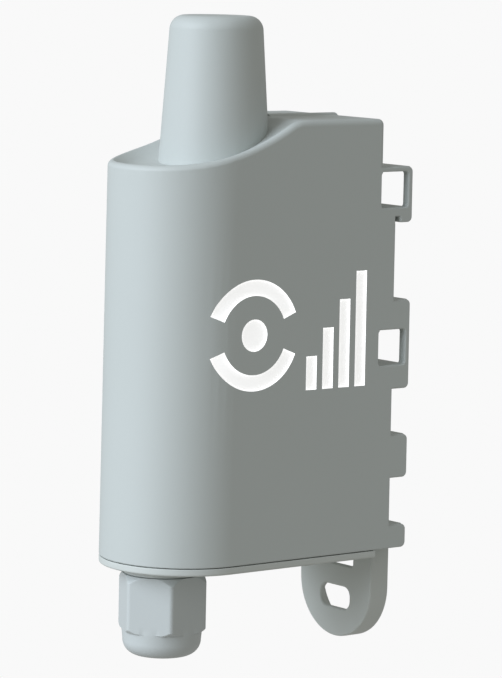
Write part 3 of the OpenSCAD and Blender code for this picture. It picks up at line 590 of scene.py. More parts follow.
def dish_cutter(rows=70, columns=64):
    """A shallow body over the sweep, thin along the rim and deep round the dome."""
    below, above = dish_layers(rows, columns)
    n, wide = len(below), columns + 1
    faces = []
    for i in range(rows):
        for k in range(columns):
            a = i * wide + k
            faces.append((a, a + wide, a + wide + 1, a + 1))
            faces.append((n + a, n + a + 1, n + a + wide + 1, n + a + wide))
        for a, b in ((i * wide, (i + 1) * wide), ((i + 1) * wide + columns, i * wide + columns)):
            faces.append((a, n + a, n + b, b))
    for k in range(columns):
        last = rows * wide + k
        faces.append((k, k + 1, n + k + 1, n + k))
        faces.append((last + 1, last, n + last, n + last + 1))
    return closed_body("dish_cutter", below + above, faces)


def dome_room(sides=96):
    """The dome's own place, which the dish leaves alone."""
    points = []
    for z in (LOW_TOP - 3.0, PLATEAU + 2.0):
        r = DOME_R - (z - LOW_TOP) * DOME_TAPER
        turns = [2 * math.pi * k / sides for k in range(sides)]
        points += [(r * math.cos(t), DOME_Y + r * math.sin(t), z) for t in turns]
    faces = [(k, (k + 1) % sides, sides + (k + 1) % sides, sides + k) for k in range(sides)]
    faces += [tuple(reversed(range(sides))), tuple(range(sides, 2 * sides))]
    return closed_body("dome_room", points, faces)


dish = dish_cutter()
cut_away(dish, dome_room())
cut_away(case_skin, dish)
print("case with its hollow:", len(case_skin.data.polygons), "faces")

# %% Round the rim
# The round, a hair of play so that the faces never coincide, and the cutter's reach outside.
RIM_R, RIM_LIFT, RIM_REACH = 1.0, 0.012, 1.5


def rim_cutter(steps=8):
    """A band along the rim that leaves a round of RIM_R behind when it is cut away."""
    rings = []
    for corner, side, top in rim_path():
        lean = side.dot(top)
        centre = corner - (side + top) * (RIM_R / (1.0 + lean)) + (side + top) * RIM_LIFT
        across = (top - side * lean).normalized()
        turn = math.acos(max(-1.0, min(1.0, lean)))
        ring = [centre + (side * math.cos(turn * i / steps) + across * math.sin(turn * i / steps)) * RIM_R
                for i in range(steps + 1)]
        ring.append(ring[-1] + top * RIM_REACH)
        ring.append(corner + (side + top) * RIM_REACH)
        ring.append(ring[0] + side * RIM_REACH)
        rings.append(ring)
    n = len(rings[0])
    last = (len(rings) - 1) * n
    faces = [(k + i, k + (i + 1) % n, k + n + (i + 1) % n, k + n + i)
             for k in range(0, last, n) for i in range(n)]
    faces.append(tuple(range(n - 1, -1, -1)))
    faces.append(tuple(range(last, last + n)))
    return closed_body("rim_cutter", [p for ring in rings for p in ring], faces)


cut_away(case_skin, rim_cutter())
print("case with its rim:", len(case_skin.data.polygons), "faces")

# %% [markdown]
# ## The sign on the wide face
# The wide face carries a plain white sign: a split ring round a dot for the signal, and four rising bars
# for the level. It could be a pattern in the paint, but that looks flat from the side. It is cut a third
# of a millimetre deep, as a moulded inlay lies, so that its edges catch the light. Its white also glows
# a little, which is painted light that keeps it bright in the shade of the wide face.

# %% Outline the sign
# Depth of the cut, height of the cutter over the face, and the area that holds the sign.
SIGN_DEPTH, SIGN_ABOVE = 0.35, 0.8
SIGN_Y, SIGN_Z = (6.0, 42.0), (22.0, 50.0)
# The ring with its two arcs in degrees from straight up, the dot, and the bars as (Y, height).
RING_Y, RING_Z = 17.4, 37.2
RING_INNER, RING_OUTER, DOT_R = 6.4, 9.0, 2.6
RING_ARCS = ((-68, 68), (112, 248))
BARS = [(29.2, 5.5), (32.6, 10.0), (36.0, 14.5), (39.4, 19.0)]
BAR_WIDE, BAR_FOOT = 2.2, 27.7


def add_prism(points, faces, outline):
    """A closed prism over an outline in (Y, Z), from under the face to well above it."""
    start = len(points)
    for lift in (-SIGN_DEPTH, SIGN_ABOVE):
        points += [(face_at(y, z) + lift, y, z) for y, z in outline]
    n = len(outline)
    faces.append(tuple(start + i for i in range(n)))
    faces.append(tuple(start + n + i for i in reversed(range(n))))
    for i in range(n):
        j = (i + 1) % n
        faces.append((start + i, start + n + i, start + n + j, start + j))


def add_arc(points, faces, first, last, steps=40):
    """A closed piece of the ring between two angles in degrees from straight up."""
    base = len(points)
    top = base + 2 * (steps + 1)
    for lift in (-SIGN_DEPTH, SIGN_ABOVE):
        for k in range(steps + 1):
            t = math.radians(first + (last - first) * k / steps)
            for r in (RING_INNER, RING_OUTER):
                y, z = RING_Y + r * math.sin(t), RING_Z + r * math.cos(t)
                points.append((face_at(y, z) + lift, y, z))
    for k in range(steps):
        a, b, c, d = 2 * k, 2 * k + 1, 2 * k + 3, 2 * k + 2
        faces.append((base + a, base + b, base + c, base + d))
        faces.append((top + d, top + c, top + b, top + a))
        faces.append((base + b, top + b, top + c, base + c))
        faces.append((base + d, top + d, top + a, base + a))
    e = 2 * steps
    faces.append((base, top, top + 1, base + 1))
    faces.append((base + e + 1, top + e + 1, top + e, base + e))


def sign_cutter(dot_steps=40):
    """A split ring round a dot, and four bars that rise like a level meter."""
    points, faces = [], []
    for first, last in RING_ARCS:
        add_arc(points, faces, first, last)
    turns = [2 * math.pi * k / dot_steps for k in range(dot_steps)]
    add_prism(points, faces, [(RING_Y + DOT_R * math.cos(t), RING_Z + DOT_R * math.sin(t)) for t in turns])
    for y, height in BARS:
        low, high = y - BAR_WIDE / 2, y + BAR_WIDE / 2
        add_prism(points, faces, [(low, BAR_FOOT), (high, BAR_FOOT), (high, BAR_FOOT + height),
                                  (low, BAR_FOOT + height)])
    return closed_body("sign_cutter", points, faces)


cut_away(case_skin, sign_cutter())
smooth_by_angle(case_skin, 32.0)
print("case with its sign:", len(case_skin.data.polygons), "faces")

# %% Paint the sign with a painted glow and dress the case
sign_white_glow = solid("sign_white_glow", (0.88, 0.88, 0.88), 0.5, 80.0, 0.01, 1800.0, 0.000006)
sign_glow_shader = sign_white_glow.node_tree.nodes["Principled BSDF"]
# The sign is no lamp: this emission is painted light that keeps its white bright in the shade of the wide
# face.
sign_glow_shader.inputs["Emission Color"].default_value = (1.0, 1.0, 1.0, 1.0)
sign_glow_shader.inputs["Emission Strength"].default_value = 0.5


def paint_sign(piece):
    """Gives the sign's material to the faces that lie in the cut."""
    piece.data.materials.append(sign_white_glow)
    count = 0
    for face in piece.data.polygons:
        c = in_case(face.center)
        depth = face_at(c.y, c.z) - c.x
        if SIGN_Y[0] < c.y < SIGN_Y[1] and SIGN_Z[0] < c.z < SIGN_Z[1] and 0.03 < depth < 0.6:
            face.material_index = 1
            count += 1
    print("sign faces:", count)


placed(in_material(case_skin, case_grey), "upper_case", "housing")
paint_sign(case_skin)

# %% [markdown]
# ## The lower case and its lug
# The lower case closes the box from below and ends in a lug for one screw, which a thin web and a frame
# behind it keep stiff. In the photograph the frame is thinner and the foot of its upper window higher
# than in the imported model, so their corners are moved before the edges are rounded. Moving corners keeps
# every face flat and closed, which a cut could not promise so close to the web.

# %% Slim the lug and round the lower case
# Heights under the parting line, the plug's shoulder over it, and the depth at which the lug starts.
RIM_FOOT, LUG_END, SHOULDER, LUG_Y = -1.3, -7.6, 2.6, 45.9
# The hollow's radius as packed and as it shall be, and how far the window's foot goes up.
FRAME_R, THIN_FRAME_R = 6.4, 7.6
WINDOW_FOOT, WINDOW_RISE = RIM_FOOT - 3.9, 0.65
WINDOW_HALF = 4.6
LUG_ROUND, RIM_ROUND = 0.35, 0.15


def base_edge(edge, angle):
    middle = middle_of(edge)
    if angle < SHARP_FROM or not edge.is_convex or middle.z >= SHOULDER:
        return 0.0
    if middle.y > LUG_Y:
        return LUG_ROUND
    return RIM_ROUND if RIM_FOOT - 0.1 < middle.z < 0.0 else 0.0


def slim_lug(p):
    """Widens the hollow behind the lug's web and lifts the foot of its upper window."""
    if p.y > LUG_Y + 0.1 and p.z < RIM_FOOT + 0.02:
        low = min(p.z - LUG_END, 0.0)
        out = math.hypot(p.x, low)
        if p.y > LUG_Y + 1.1 and abs(out - FRAME_R) < 0.06:
            return Vector((p.x * THIN_FRAME_R / out, p.y, p.z - low + low * THIN_FRAME_R / out))
        if abs(p.x) < WINDOW_HALF and WINDOW_FOOT - 0.05 < p.z < WINDOW_FOOT + 0.6:
            return Vector((p.x, p.y, p.z + WINDOW_RISE))
    return p


base_skin = rounded_copy("lower_case", "base_skin", base_edge, [((0, 0, 0), ACROSS)], reshape=slim_lug)

# %% [markdown]
# ## The gland's nut
# The nut is a hexagon with soft corners whose flats run out into a round crown with the cable's hole.
# Turning a profile gives the crown but not the flats, and cutting a hexagon leaves hard edges. Here each
# row of points is a ring whose radius is a function of the angle, so one closed grid holds flats,
# corners, crown and bore.

# %% Describe the nut
# The gland's axis as (X, Y), then heights under the parting line and the turn of the nut in degrees.
GLAND = (0.0, 9.8)
NUT_TOP, NUT_HEX_END, NUT_END, NUT_TURN = -2.6, -11.9, -16.1, 35.3
# Half the width across flats and the corners' round, then the crown with its lean and lower edge.
APOTHEM, CORNER_R = 6.57, 0.8
CROWN_R, CROWN_LEAN, CROWN_EDGE = 6.58, 0.15, 2.6
# Cones that take the corners off above and below, and the run-out of the flats into the crown.
TOP_CIRCLE, TOP_SLOPE = 6.7, 0.7
LOW_CIRCLE, LOW_SLOPE = 6.95, 1.0
RUN_OUT, FLUSH = 1.4, 0.22
# The bore from below upwards as (height, radius), with the seat of the fingers and the thread.
BORE = [(NUT_END, 3.2), (-14.7, 3.2), (-14.7, 4.8), (-10.2, 4.8), (-10.2, 5.38), (NUT_TOP, 5.38)]


def hexagon_radius(degrees):
    """Distance from the axis to a hexagon with round corners, at an angle from the middle of a flat."""
    off = math.radians((degrees + 30.0) % 60.0 - 30.0)
    flat_end = math.atan((APOTHEM - CORNER_R) * math.tan(math.radians(30)) / APOTHEM)
    if abs(off) <= flat_end:
        return APOTHEM / math.cos(off)
    middle = (APOTHEM - CORNER_R) / math.cos(math.radians(30))
    side = math.radians(30) - abs(off)
    return middle * math.cos(side) + math.sqrt(CORNER_R ** 2 - (middle * math.sin(side)) ** 2)


def soft_least(a, b, blend=0.06):
    """The smaller of two radii, rounded where they cross."""
    h = max(blend - abs(a - b), 0.0) / blend
    return min(a, b) - h * h * blend / 4


def flats_radius(z, angle):
    """The hexagon at a height: cut by a cone at either end, and run out into the crown at the lower one."""
    flat = hexagon_radius(angle)
    near = share((flat - CROWN_R) / FLUSH)
    flat += (CROWN_R - flat) * eased((NUT_HEX_END + RUN_OUT - z) / RUN_OUT) * (1 - eased(near))
    return soft_least(soft_least(flat, TOP_CIRCLE + (NUT_TOP - z) * TOP_SLOPE),
                      LOW_CIRCLE + (z - NUT_HEX_END) * LOW_SLOPE)


print("nut across its flats in mm:", 2 * APOTHEM)

# %% Shape the nut
def flat_row(z):
    return lambda angle: (flats_radius(z, angle), z)


def level_row(r, z):
    return lambda angle: (r, z)


def under_hexagon(angle):
    """The narrow ledge between a corner of the hexagon and the crown."""
    return CROWN_R, NUT_HEX_END - 0.05 - 0.25 * max(flats_radius(NUT_HEX_END, angle) - CROWN_R, 0.0)


def nut_rows():
    """Rows down the outside and up the bore, each a function from an angle to a radius and a height."""
    heights = [NUT_TOP - 0.05 * k for k in range(26)] + [-4.6, -6.0, -7.5, -9.0, -10.4]
    heights += [NUT_HEX_END + 0.05 * k for k in range(28, -1, -1)]
    rows = [flat_row(z) for z in heights]
    rows += [under_hexagon, level_row(CROWN_R - CROWN_LEAN * 0.3, NUT_HEX_END - 0.5)]
    edge_r, edge_z = CROWN_R - CROWN_LEAN - CROWN_EDGE, NUT_END + CROWN_EDGE
    for k in range(17):
        t = math.radians(90 * k / 16)
        rows.append(level_row(edge_r + CROWN_EDGE * math.cos(t), edge_z - CROWN_EDGE * math.sin(t)))
    return rows + [level_row(r, z) for z, r in BORE]


def shape_nut(sides=360):
    rows = nut_rows()
    points = []
    for row_at in rows:
        for k in range(sides):
            degrees = 360.0 * k / sides
            r, z = row_at(degrees - NUT_TURN - 30.0)
            t = math.radians(degrees)
            points.append((r * math.cos(t), GLAND[1] + r * math.sin(t), z))
    faces = []
    for i in range(len(rows)):
        low, high = i * sides, (i + 1) % len(rows) * sides
        faces += [(low + k, low + (k + 1) % sides, high + (k + 1) % sides, high + k) for k in range(sides)]
    piece = smooth_by_angle(closed_body("nut_skin", points, faces), 26.0)
    print("nut faces:", len(piece.data.polygons))
    return piece


placed(in_material(shape_nut(), nut_grey), "gland_nut", "nut")

# %% [markdown]
# ## A helper for node trees
# Threads, coils, rows of pins and rings of legs all repeat one item or follow one path. Loops in Python
# could place every copy, but a tree of geometry nodes with named inputs says what it repeats and serves
# many pieces. The result is turned into a plain mesh at once, because what leaves this file has to be
# ordinary triangles.

# %% Make the helper
SOCKETS = {int: "NodeSocketInt", float: "NodeSocketFloat", tuple: "NodeSocketVector"}


class Tree:
    """A geometry node tree: named sizes go in, an item may go in, and a finished mesh comes out."""

    def __init__(self, name, **sizes):
        self.group = bpy.data.node_groups.new(name, "GeometryNodeTree")
        self.sizes = sizes
        self.ids = {}
        self.socket("Item", "NodeSocketGeometry")
        for label, value in sizes.items():
            self.ids[label] = self.socket(label, SOCKETS[type(value)])
        self.finish_id = self.socket("Finish", "NodeSocketMaterial")
        self.socket("Geometry", "NodeSocketGeometry", "OUTPUT")
        self.source = self.group.nodes.new("NodeGroupInput")
        self.result = self.group.nodes.new("NodeGroupOutput")

    def socket(self, label, kind, way="INPUT"):
        return self.group.interface.new_socket(label, in_out=way, socket_type=kind).identifier

    def get(self, label):
        return self.source.outputs[label]

    def add(self, kind, inputs=(), **settings):
        made = self.group.nodes.new(kind)
        for key, value in settings.items():
            setattr(made, key, value)
        for key, value in dict(inputs).items():
            if isinstance(value, bpy.types.NodeSocket):
                self.group.links.new(value, made.inputs[key])
            else:
                made.inputs[key].default_value = value
        return made.outputs[0]

    def maths(self, operation, a, b, clamp=False):
        return self.add("ShaderNodeMath", {0: a, 1: b}, operation=operation, use_clamp=clamp)

    def copies(self, points, **turn):
        """The item on every point."""
        inputs = {"Points": points, "Instance": self.get("Item"), **turn}
        return self.add("GeometryNodeInstanceOnPoints", inputs)

    def tube(self, path):
        """A round wire along a curve."""
        section = self.add("GeometryNodeCurvePrimitiveCircle",
                           {"Resolution": self.get("Sides"), "Radius": self.get("Wire")}, mode="RADIUS")
        return self.add("GeometryNodeCurveToMesh",
                        {"Curve": path, "Profile Curve": section, "Fill Caps": True})

    def close(self, geometry):
        real = self.add("GeometryNodeRealizeInstances", {0: geometry})
        finished = self.add("GeometryNodeSetMaterial", {0: real, "Material": self.get("Finish")})
        self.group.links.new(finished, self.result.inputs[0])
        return self

    def run(self, name, material, item=None, **sizes):
        piece = add_object(name, item or bpy.data.meshes.new(name))
        modifier = piece.modifiers.new(name, "NODES")
        modifier.node_group = self.group
        for label, value in {**self.sizes, **sizes}.items():
            modifier[self.ids[label]] = value
        modifier[self.finish_id] = material
        settle(piece)
        print(name, "made by nodes, faces:", len(piece.data.polygons))
        return piece


print("sockets for", [kind.__name__ for kind in SOCKETS])

# %% [markdown]
# ## Wires and ridges
# A thread, a coil and a lead are all a round section led along a path. The first two climb a helix, and a
# cut thread's ridge also swells from nothing at its ends, so its tree has an input for that. The third
# follows listed points. A screw modifier would wind a helix too, but it can't let the ridge run
# in.

# %% Build the trees for wires
def helix_tree():
    """A wire that climbs round an axis; its ends can run in from nothing, as a cut thread does."""
    tree = Tree("helix", Turns=5.0, Height=0.01, Radius=0.005, Wire=0.0005, RunIn=0.0, Steps=32, Sides=12)
    path = tree.add("GeometryNodeCurveSpiral", {
        "Resolution": tree.get("Steps"), "Rotations": tree.get("Turns"), "Height": tree.get("Height"),
        "Start Radius": tree.get("Radius"), "End Radius": tree.get("Radius")})
    along = tree.add("GeometryNodeSplineParameter")
    near_end = tree.maths("MINIMUM", along, tree.maths("SUBTRACT", 1.0, along))
    turns = tree.maths("ADD", tree.maths("MULTIPLY", near_end, tree.get("Turns")), 0.0001)
    swell = tree.maths("DIVIDE", turns, tree.maths("MAXIMUM", tree.get("RunIn"), 0.0001), clamp=True)
    path = tree.add("GeometryNodeSetCurveNormal", {0: path}, mode="Z_UP")
    path = tree.add("GeometryNodeSetCurveRadius", {"Curve": path, "Radius": swell})
    return tree.close(tree.tube(path))


def route_tree():
    """A round wire along the item's edges, bent smoothly through their points."""
    tree = Tree("route", Wire=0.0006, Sides=14, Step=0.0008)
    path = tree.add("GeometryNodeMeshToCurve", {0: tree.get("Item")})
    path = tree.add("GeometryNodeCurveSplineType", {0: path}, spline_type="CATMULL_ROM")
    path = tree.add("GeometryNodeResampleCurve", {"Curve": path, "Length": tree.get("Step")}, mode="LENGTH")
    return tree.close(tree.tube(path))


helix, route = helix_tree(), route_tree()
print("trees:", [group.name for group in bpy.data.node_groups])

# %% Wind a ridge and lay a wire
def wound(name, material, at, low, high, pitch, radius, wire, run_in=0.3, sides=4, steps=40):
    """A ridge or wire wound upwards round an upright axis, in case millimetres."""
    piece = helix.run(name, material, Turns=(high - low) / pitch, Height=(high - low) * MM,
                      Radius=radius * MM, Wire=wire * MM, RunIn=run_in, Steps=steps, Sides=sides)
    piece.data.transform(Matrix.Translation(in_part((*at, low))))
    return piece


def laid(name, material, points, wire, step):
    """A round wire through points in case millimetres."""
    line = bpy.data.meshes.new(name)
    line.from_pydata([in_part(p) for p in points], [(k, k + 1) for k in range(len(points) - 1)], [])
    return route.run(name, material, line, Wire=wire * MM, Step=step * MM)


print("wire helpers made")

# %% [markdown]
# ## Rows, rings and scattered copies
# The legs of a chip, the pins of a header and the pads of a module stand at an even pitch, so one item is
# made and repeated in a row or round a ring. The plated holes of a board look random but never overlap.
# Points thrown at random would, so a grid is thinned and shaken a little instead, with a fixed seed.

# %% Build the trees for copies
def row_tree():
    """Copies of the item in a straight row."""
    tree = Tree("row", Count=5, Step=(0.0, 0.0, 0.001))
    line = tree.add("GeometryNodeMeshLine", {"Count": tree.get("Count"), "Offset": tree.get("Step")},
                    mode="OFFSET")
    return tree.close(tree.copies(line))


def ring_tree():
    """Copies of the item turned round an axis through the origin."""
    tree = Tree("ring", Count=4, Axis=(0.0, 0.0, 1.0))
    line = tree.add("GeometryNodeMeshLine", {"Count": tree.get("Count"), "Offset": (0.0, 0.0, 0.0)},
                    mode="OFFSET")
    part = tree.maths("DIVIDE", tree.add("GeometryNodeInputIndex"), tree.get("Count"))
    angle = tree.maths("MULTIPLY", part, 2 * math.pi)
    turn = tree.add("FunctionNodeAxisAngleToRotation", {"Axis": tree.get("Axis"), "Angle": angle})
    return tree.close(tree.copies(line, Rotation=turn))


def scatter_tree():
    """Copies of the item on a thinned and shaken grid in the XY plane."""
    tree = Tree("scatter", Long=0.03, Wide=0.03, Columns=12, Rows=12, Dropped=0.6, Shake=0.0005, Seed=7)
    grid = tree.add("GeometryNodeMeshGrid", {
        "Size X": tree.get("Long"), "Size Y": tree.get("Wide"),
        "Vertices X": tree.get("Columns"), "Vertices Y": tree.get("Rows")})
    drop = tree.group.nodes.new("FunctionNodeRandomValue")
    drop.data_type = "BOOLEAN"
    for label, name in (("Dropped", "Probability"), ("Seed", "Seed")):
        socket = next(i for i in drop.inputs if i.name == name and i.enabled)
        tree.group.links.new(tree.get(label), socket)
    chosen = next(o for o in drop.outputs if o.enabled)
    kept = tree.add("GeometryNodeDeleteGeometry", {0: grid, 1: chosen}, domain="POINT")
    index = tree.add("GeometryNodeInputIndex")
    shift = {}
    for axis, jump in enumerate((12.9898, 78.233)):
        wave = tree.maths("SINE", tree.maths("MULTIPLY", index, jump), 0.0)
        shift[axis] = tree.maths("MULTIPLY", wave, tree.get("Shake"))
    offset = tree.add("ShaderNodeCombineXYZ", shift)
    points = tree.add("GeometryNodeSetPosition", {"Geometry": kept, "Offset": offset})
    return tree.close(tree.copies(points))


row, ring, scatter = row_tree(), ring_tree(), scatter_tree()
print("trees:", [group.name for group in bpy.data.node_groups])

# %% [markdown]
# ## Helpers for turned and boxed shapes
# Inside the case most pieces are either turned (the cell, the capacitor, the screws) or boxes with soft
# edges (the chip, the plug). They could be modelled by hand, but a profile spun round an axis and a list
# of boxes say their sizes in one place and can be read back.

# %% Make turned and boxed shapes
def as_piece(name, sheet):
    """A piece from a sheet of faces in case millimetres, with its edges over 40 degrees sharp."""
    bmesh.ops.recalc_face_normals(sheet, faces=sheet.faces)
    mesh = bpy.data.meshes.new(name)
    sheet.to_mesh(mesh)
    sheet.free()
    mesh.transform(Matrix.Scale(MM, 4) @ Matrix.Translation(CASE_TO_PART))
    return smooth_by_angle(add_object(name, mesh), 40.0)


def turned(name, profile, at, sides=64):
    """Spins a profile of (radius, height) round an upright axis through a point, in case millimetres."""
    sheet = bmesh.new()
    rings = []
    for r, z in profile:
        turns = [2 * math.pi * k / sides for k in range(sides)] if r else [0.0]
        rings.append([sheet.verts.new((at[0] + r * math.cos(t), at[1] + r * math.sin(t), at[2] + z))
                      for t in turns])
    for low, high in zip(rings, rings[1:]):
        for k in range(sides):
            j = (k + 1) % sides
            corners = [low[k % len(low)], low[j % len(low)], high[j % len(high)], high[k % len(high)]]
            sheet.faces.new(list(dict.fromkeys(corners)))
    return as_piece(name, sheet)


def boxed(name, boxes, soft=0.1, segments=2):
    """Boxes from their low and high corners in case millimetres, with every edge softened."""
    sheet = bmesh.new()
    for low, high in boxes:
        low, high = Vector(low), Vector(high)
        made = bmesh.ops.create_cube(sheet, size=1.0)
        bmesh.ops.scale(sheet, vec=high - low, verts=made["verts"])
        bmesh.ops.translate(sheet, vec=(low + high) / 2, verts=made["verts"])
    if soft > 0.0:
        bmesh.ops.bevel(sheet, geom=list(sheet.edges), offset=soft, segments=segments, affect="EDGES",
                        profile=0.5)
    return as_piece(name, sheet)


print("shape helpers made")

# %% Join, take to the origin and repeat
def joined(name, *pieces):
    """One object from several, each keeping its own materials."""
    sheet = bmesh.new()
    mesh = bpy.data.meshes.new(name)
    for piece in pieces:
        first = len(mesh.materials)
        for material in piece.data.materials:
            mesh.materials.append(material)
        start = len(sheet.faces)
        sheet.from_mesh(piece.data)
        sheet.faces.ensure_lookup_table()
        for face in sheet.faces[start:]:
            face.material_index += first
    sheet.to_mesh(mesh)
    sheet.free()
    for piece in pieces:
        bpy.data.objects.remove(piece)
    return add_object(name, mesh)


def as_item(piece):
    """A piece drawn round the case's zero point, taken to the origin so that a tree can repeat it."""
    piece.data.transform(Matrix.Translation(-CASE_TO_PART * MM))
    return piece


def mesh_of(piece):
    """The mesh of a piece whose object has served its turn."""
    mesh = piece.data
    bpy.data.objects.remove(piece)
    return mesh


def repeated(name, items, at, count, step):
    """A row of each item from a point on, in case millimetres, one run of the tree for each material."""
    made = []
    for item in items:
        mesh = mesh_of(item)
        run = row.run(name, mesh.materials[0], mesh, Count=count, Step=tuple(v * MM for v in step))
        run.data.transform(Matrix.Translation(in_part(at)))
        made.append(run)
    return made


print("joining helpers made")

# %% [markdown]
# ## Finishes for the inside
# The real inside has natural nylon, tinned and nickel-plated steel, gold on the board and soft rubber.
# The metals could be mirrors, but plated small parts never are, so they get a fine turned grain.

# %% Mix the finishes
black_rubber = solid("black_rubber", (0.018, 0.018, 0.02), 0.7)
white_nylon = solid("white_nylon", (0.75, 0.76, 0.75), 0.45)
bright_steel = solid("bright_steel", (0.62, 0.63, 0.65), 0.3, 400.0, 0.05, 6000.0, 0.000006, metallic=1.0)
tinned = solid("tinned", (0.70, 0.71, 0.72), 0.38, 300.0, 0.06, 4000.0, 0.000006, metallic=1.0)
gold = solid("gold", (0.83, 0.62, 0.25), 0.28, 500.0, 0.04, 6000.0, 0.000004, metallic=1.0)
spring_wire = solid("spring_wire", (0.75, 0.5, 0.2), 0.3, 400.0, 0.05, 6000.0, 0.000004, metallic=1.0)
cell_sleeve = solid("cell_sleeve", (0.75, 0.76, 0.72), 0.3, 120.0, 0.02, 1500.0, 0.00001)
red_jacket = solid("red_jacket", (0.5, 0.02, 0.015), 0.4)
natural_nylon = solid("natural_nylon", (0.80, 0.78, 0.70), 0.45)
black_epoxy = solid("black_epoxy", (0.012, 0.012, 0.013), 0.5, 300.0, 0.1, 5000.0, 0.00001)
blue_sleeve = solid("blue_sleeve", (0.02, 0.04, 0.2), 0.3)
green_nylon = solid("green_nylon", (0.03, 0.25, 0.09), 0.45)
reed_glass = solid("reed_glass", (0.45, 0.6, 0.5), 0.08, specular=0.6)
reed_glass.node_tree.nodes["Principled BSDF"].inputs["Transmission Weight"].default_value = 0.8
yellow_resin = solid("yellow_resin", (0.7, 0.6, 0.1), 0.2)
tan_ceramic = solid("tan_ceramic", (0.4, 0.28, 0.16), 0.5)
print("finishes:", len(bpy.data.materials))

# %% [markdown]
# ## The board's solder mask
# Under the green mask of a real board the copper tracks show as a lighter green, in groups of fine
# parallel lines. Drawn as geometry they would be thousands of strips thinner than a hair. As a pattern, a
# grid of cells chooses where lines run upright, where they run level and where there are none.

# %% Mix the board's green
TRACKS_PER_METRE, TRACK_SHARE, CELLS_PER_METRE = 1100.0, 0.16, 170.0
UPRIGHT_CELLS, LEVEL_CELLS = (0.0, 0.3), (0.3, 0.52)


def board_green():
    """Solder mask over tracks: groups of fine parallel lines, by the cells of a grid."""
    material, nodes, links, shader = blank("green_board")
    place = nodes.new("ShaderNodeTexCoord")
    flat = nodes.new("ShaderNodeSeparateXYZ")
    links.new(place.outputs["Object"], flat.inputs[0])
    plane = nodes.new("ShaderNodeCombineXYZ")
    links.new(flat.outputs["Y"], plane.inputs["X"])
    links.new(flat.outputs["Z"], plane.inputs["Y"])
    cells = nodes.new("ShaderNodeTexVoronoi")
    cells.distance = "CHEBYCHEV"
    cells.inputs["Scale"].default_value = CELLS_PER_METRE
    links.new(plane.outputs[0], cells.inputs["Vector"])
    pick = nodes.new("ShaderNodeSeparateColor")
    links.new(cells.outputs["Color"], pick.inputs["Color"])

    def maths(operation, a, b):
        node = nodes.new("ShaderNodeMath")
        node.operation = operation
        for socket, value in zip(node.inputs, (a, b)):
            if isinstance(value, float):
                socket.default_value = value
            else:
                links.new(value, socket)
        return node.outputs[0]

    def lines(axis, low, high):
        along = maths("FRACT", maths("MULTIPLY", flat.outputs[axis], TRACKS_PER_METRE), 0.0)
        line = maths("LESS_THAN", maths("ABSOLUTE", maths("SUBTRACT", along, 0.5), 0.0), TRACK_SHARE)
        chosen = maths("MULTIPLY", maths("GREATER_THAN", pick.outputs["Red"], low),
                       maths("LESS_THAN", pick.outputs["Red"], high))
        return maths("MULTIPLY", line, chosen)

    tracks = maths("MAXIMUM", lines("Y", *UPRIGHT_CELLS), lines("Z", *LEVEL_CELLS))
    mix = nodes.new("ShaderNodeMix")
    mix.data_type = "RGBA"
    mix.inputs["A"].default_value = (0.016, 0.150, 0.062, 1.0)
    mix.inputs["B"].default_value = (0.032, 0.225, 0.100, 1.0)
    links.new(tracks, mix.inputs["Factor"])
    links.new(mix.outputs["Result"], shader.inputs["Base Color"])
    links.new(grain(nodes, links, place, 1200.0, 0.00001), shader.inputs["Normal"])
    shader.inputs["Roughness"].default_value = 0.32
    return material


green_board = board_green()
print("board tracks per mm:", TRACKS_PER_METRE * MM)

# %% [markdown]
# ## Seals, ring and board
# The seals and the gland's sleeve are soft rubber, its loose ring is nylon, and the board is a plain
# plate with holes. They could be copied and rounded too, but they lie in grooves and bores where no edge
# shows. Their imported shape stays, and only the finish is new.

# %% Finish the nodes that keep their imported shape
KEPT_NODES = {"main_board": green_board, "case_seal": black_rubber, "screw_seal_1": black_rubber,
              "screw_seal_2": black_rubber, "gland_seal": black_rubber, "gland_ring": white_nylon}
for node, material in KEPT_NODES.items():
    in_material(NODES[node], material)
print("kept as packed:", list(KEPT_NODES))

# %% [markdown]
# ## The thread of the gland's spout
# The spout's thread is moulded with it. A true thread could be cut by a winding cutter, but such cuts
# tear easily. So a ring of the spout is taken away first and the ridge is wound on the core that is left.
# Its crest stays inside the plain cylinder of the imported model, so the nut still runs.

# %% Cut the ring and wind the thread
# The spout with its thread's lower and upper end, and the ridge's own radius and half thickness.
SPOUT_R, SPOUT_CORE, SPOUT_LOW, SPOUT_HIGH, SPOUT_PITCH = 5.3, 4.98, -9.25, -3.1, 1.5
RIDGE_R, RIDGE = 4.94, 0.34
spout_ring = [(SPOUT_CORE, SPOUT_LOW), (SPOUT_R + 0.4, SPOUT_LOW), (SPOUT_R + 0.4, SPOUT_HIGH),
              (SPOUT_CORE, SPOUT_HIGH), (SPOUT_CORE, SPOUT_LOW)]
cut_away(base_skin, turned("spout_waste", spout_ring, (*GLAND, 0.0), 96))
smooth_by_angle(base_skin, 32.0)
placed(in_material(base_skin, base_grey), "lower_case", "base")
spout_thread = wound("spout_thread", base_grey, GLAND, SPOUT_LOW + 0.5, SPOUT_HIGH - 0.4, SPOUT_PITCH,
                     RIDGE_R, RIDGE)
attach(spout_thread, "base")

# %% [markdown]
# ## The closing screws
# Two steel screws with a cross in their head close the box from below. Their outline is a profile, so it
# is spun. The cross is cut by two crossed boxes, and the ridge is wound round the thinner end, which is
# how a rolled thread looks from a hand's distance.

# %% Turn the closing screws
# Axes as (X, Y), and the outline as (radius, height) from the head's top down its shank.
SCREWS_AT = ((8.5, 22.5), (-8.5, 37.0))
SCREW_PROFILE = [(0.0, -1.2), (1.2, -1.2), (1.6, -1.12), (1.86, -0.9), (2.0, -0.55), (2.0, 0.06),
                 (1.94, 0.1), (1.1, 0.1), (1.1, 6.6), (0.84, 7.0), (0.84, 18.1), (0.3, 18.95), (0.0, 19.05)]
CROSS_LONG, CROSS_WIDE, CROSS_FOOT, CROSS_TOP = 1.1, 0.25, -2.0, -0.4
THREAD_LOW, THREAD_HIGH, THREAD_PITCH, THREAD_R, THREAD_RIDGE = 7.2, 17.9, 0.8, 0.8, 0.27


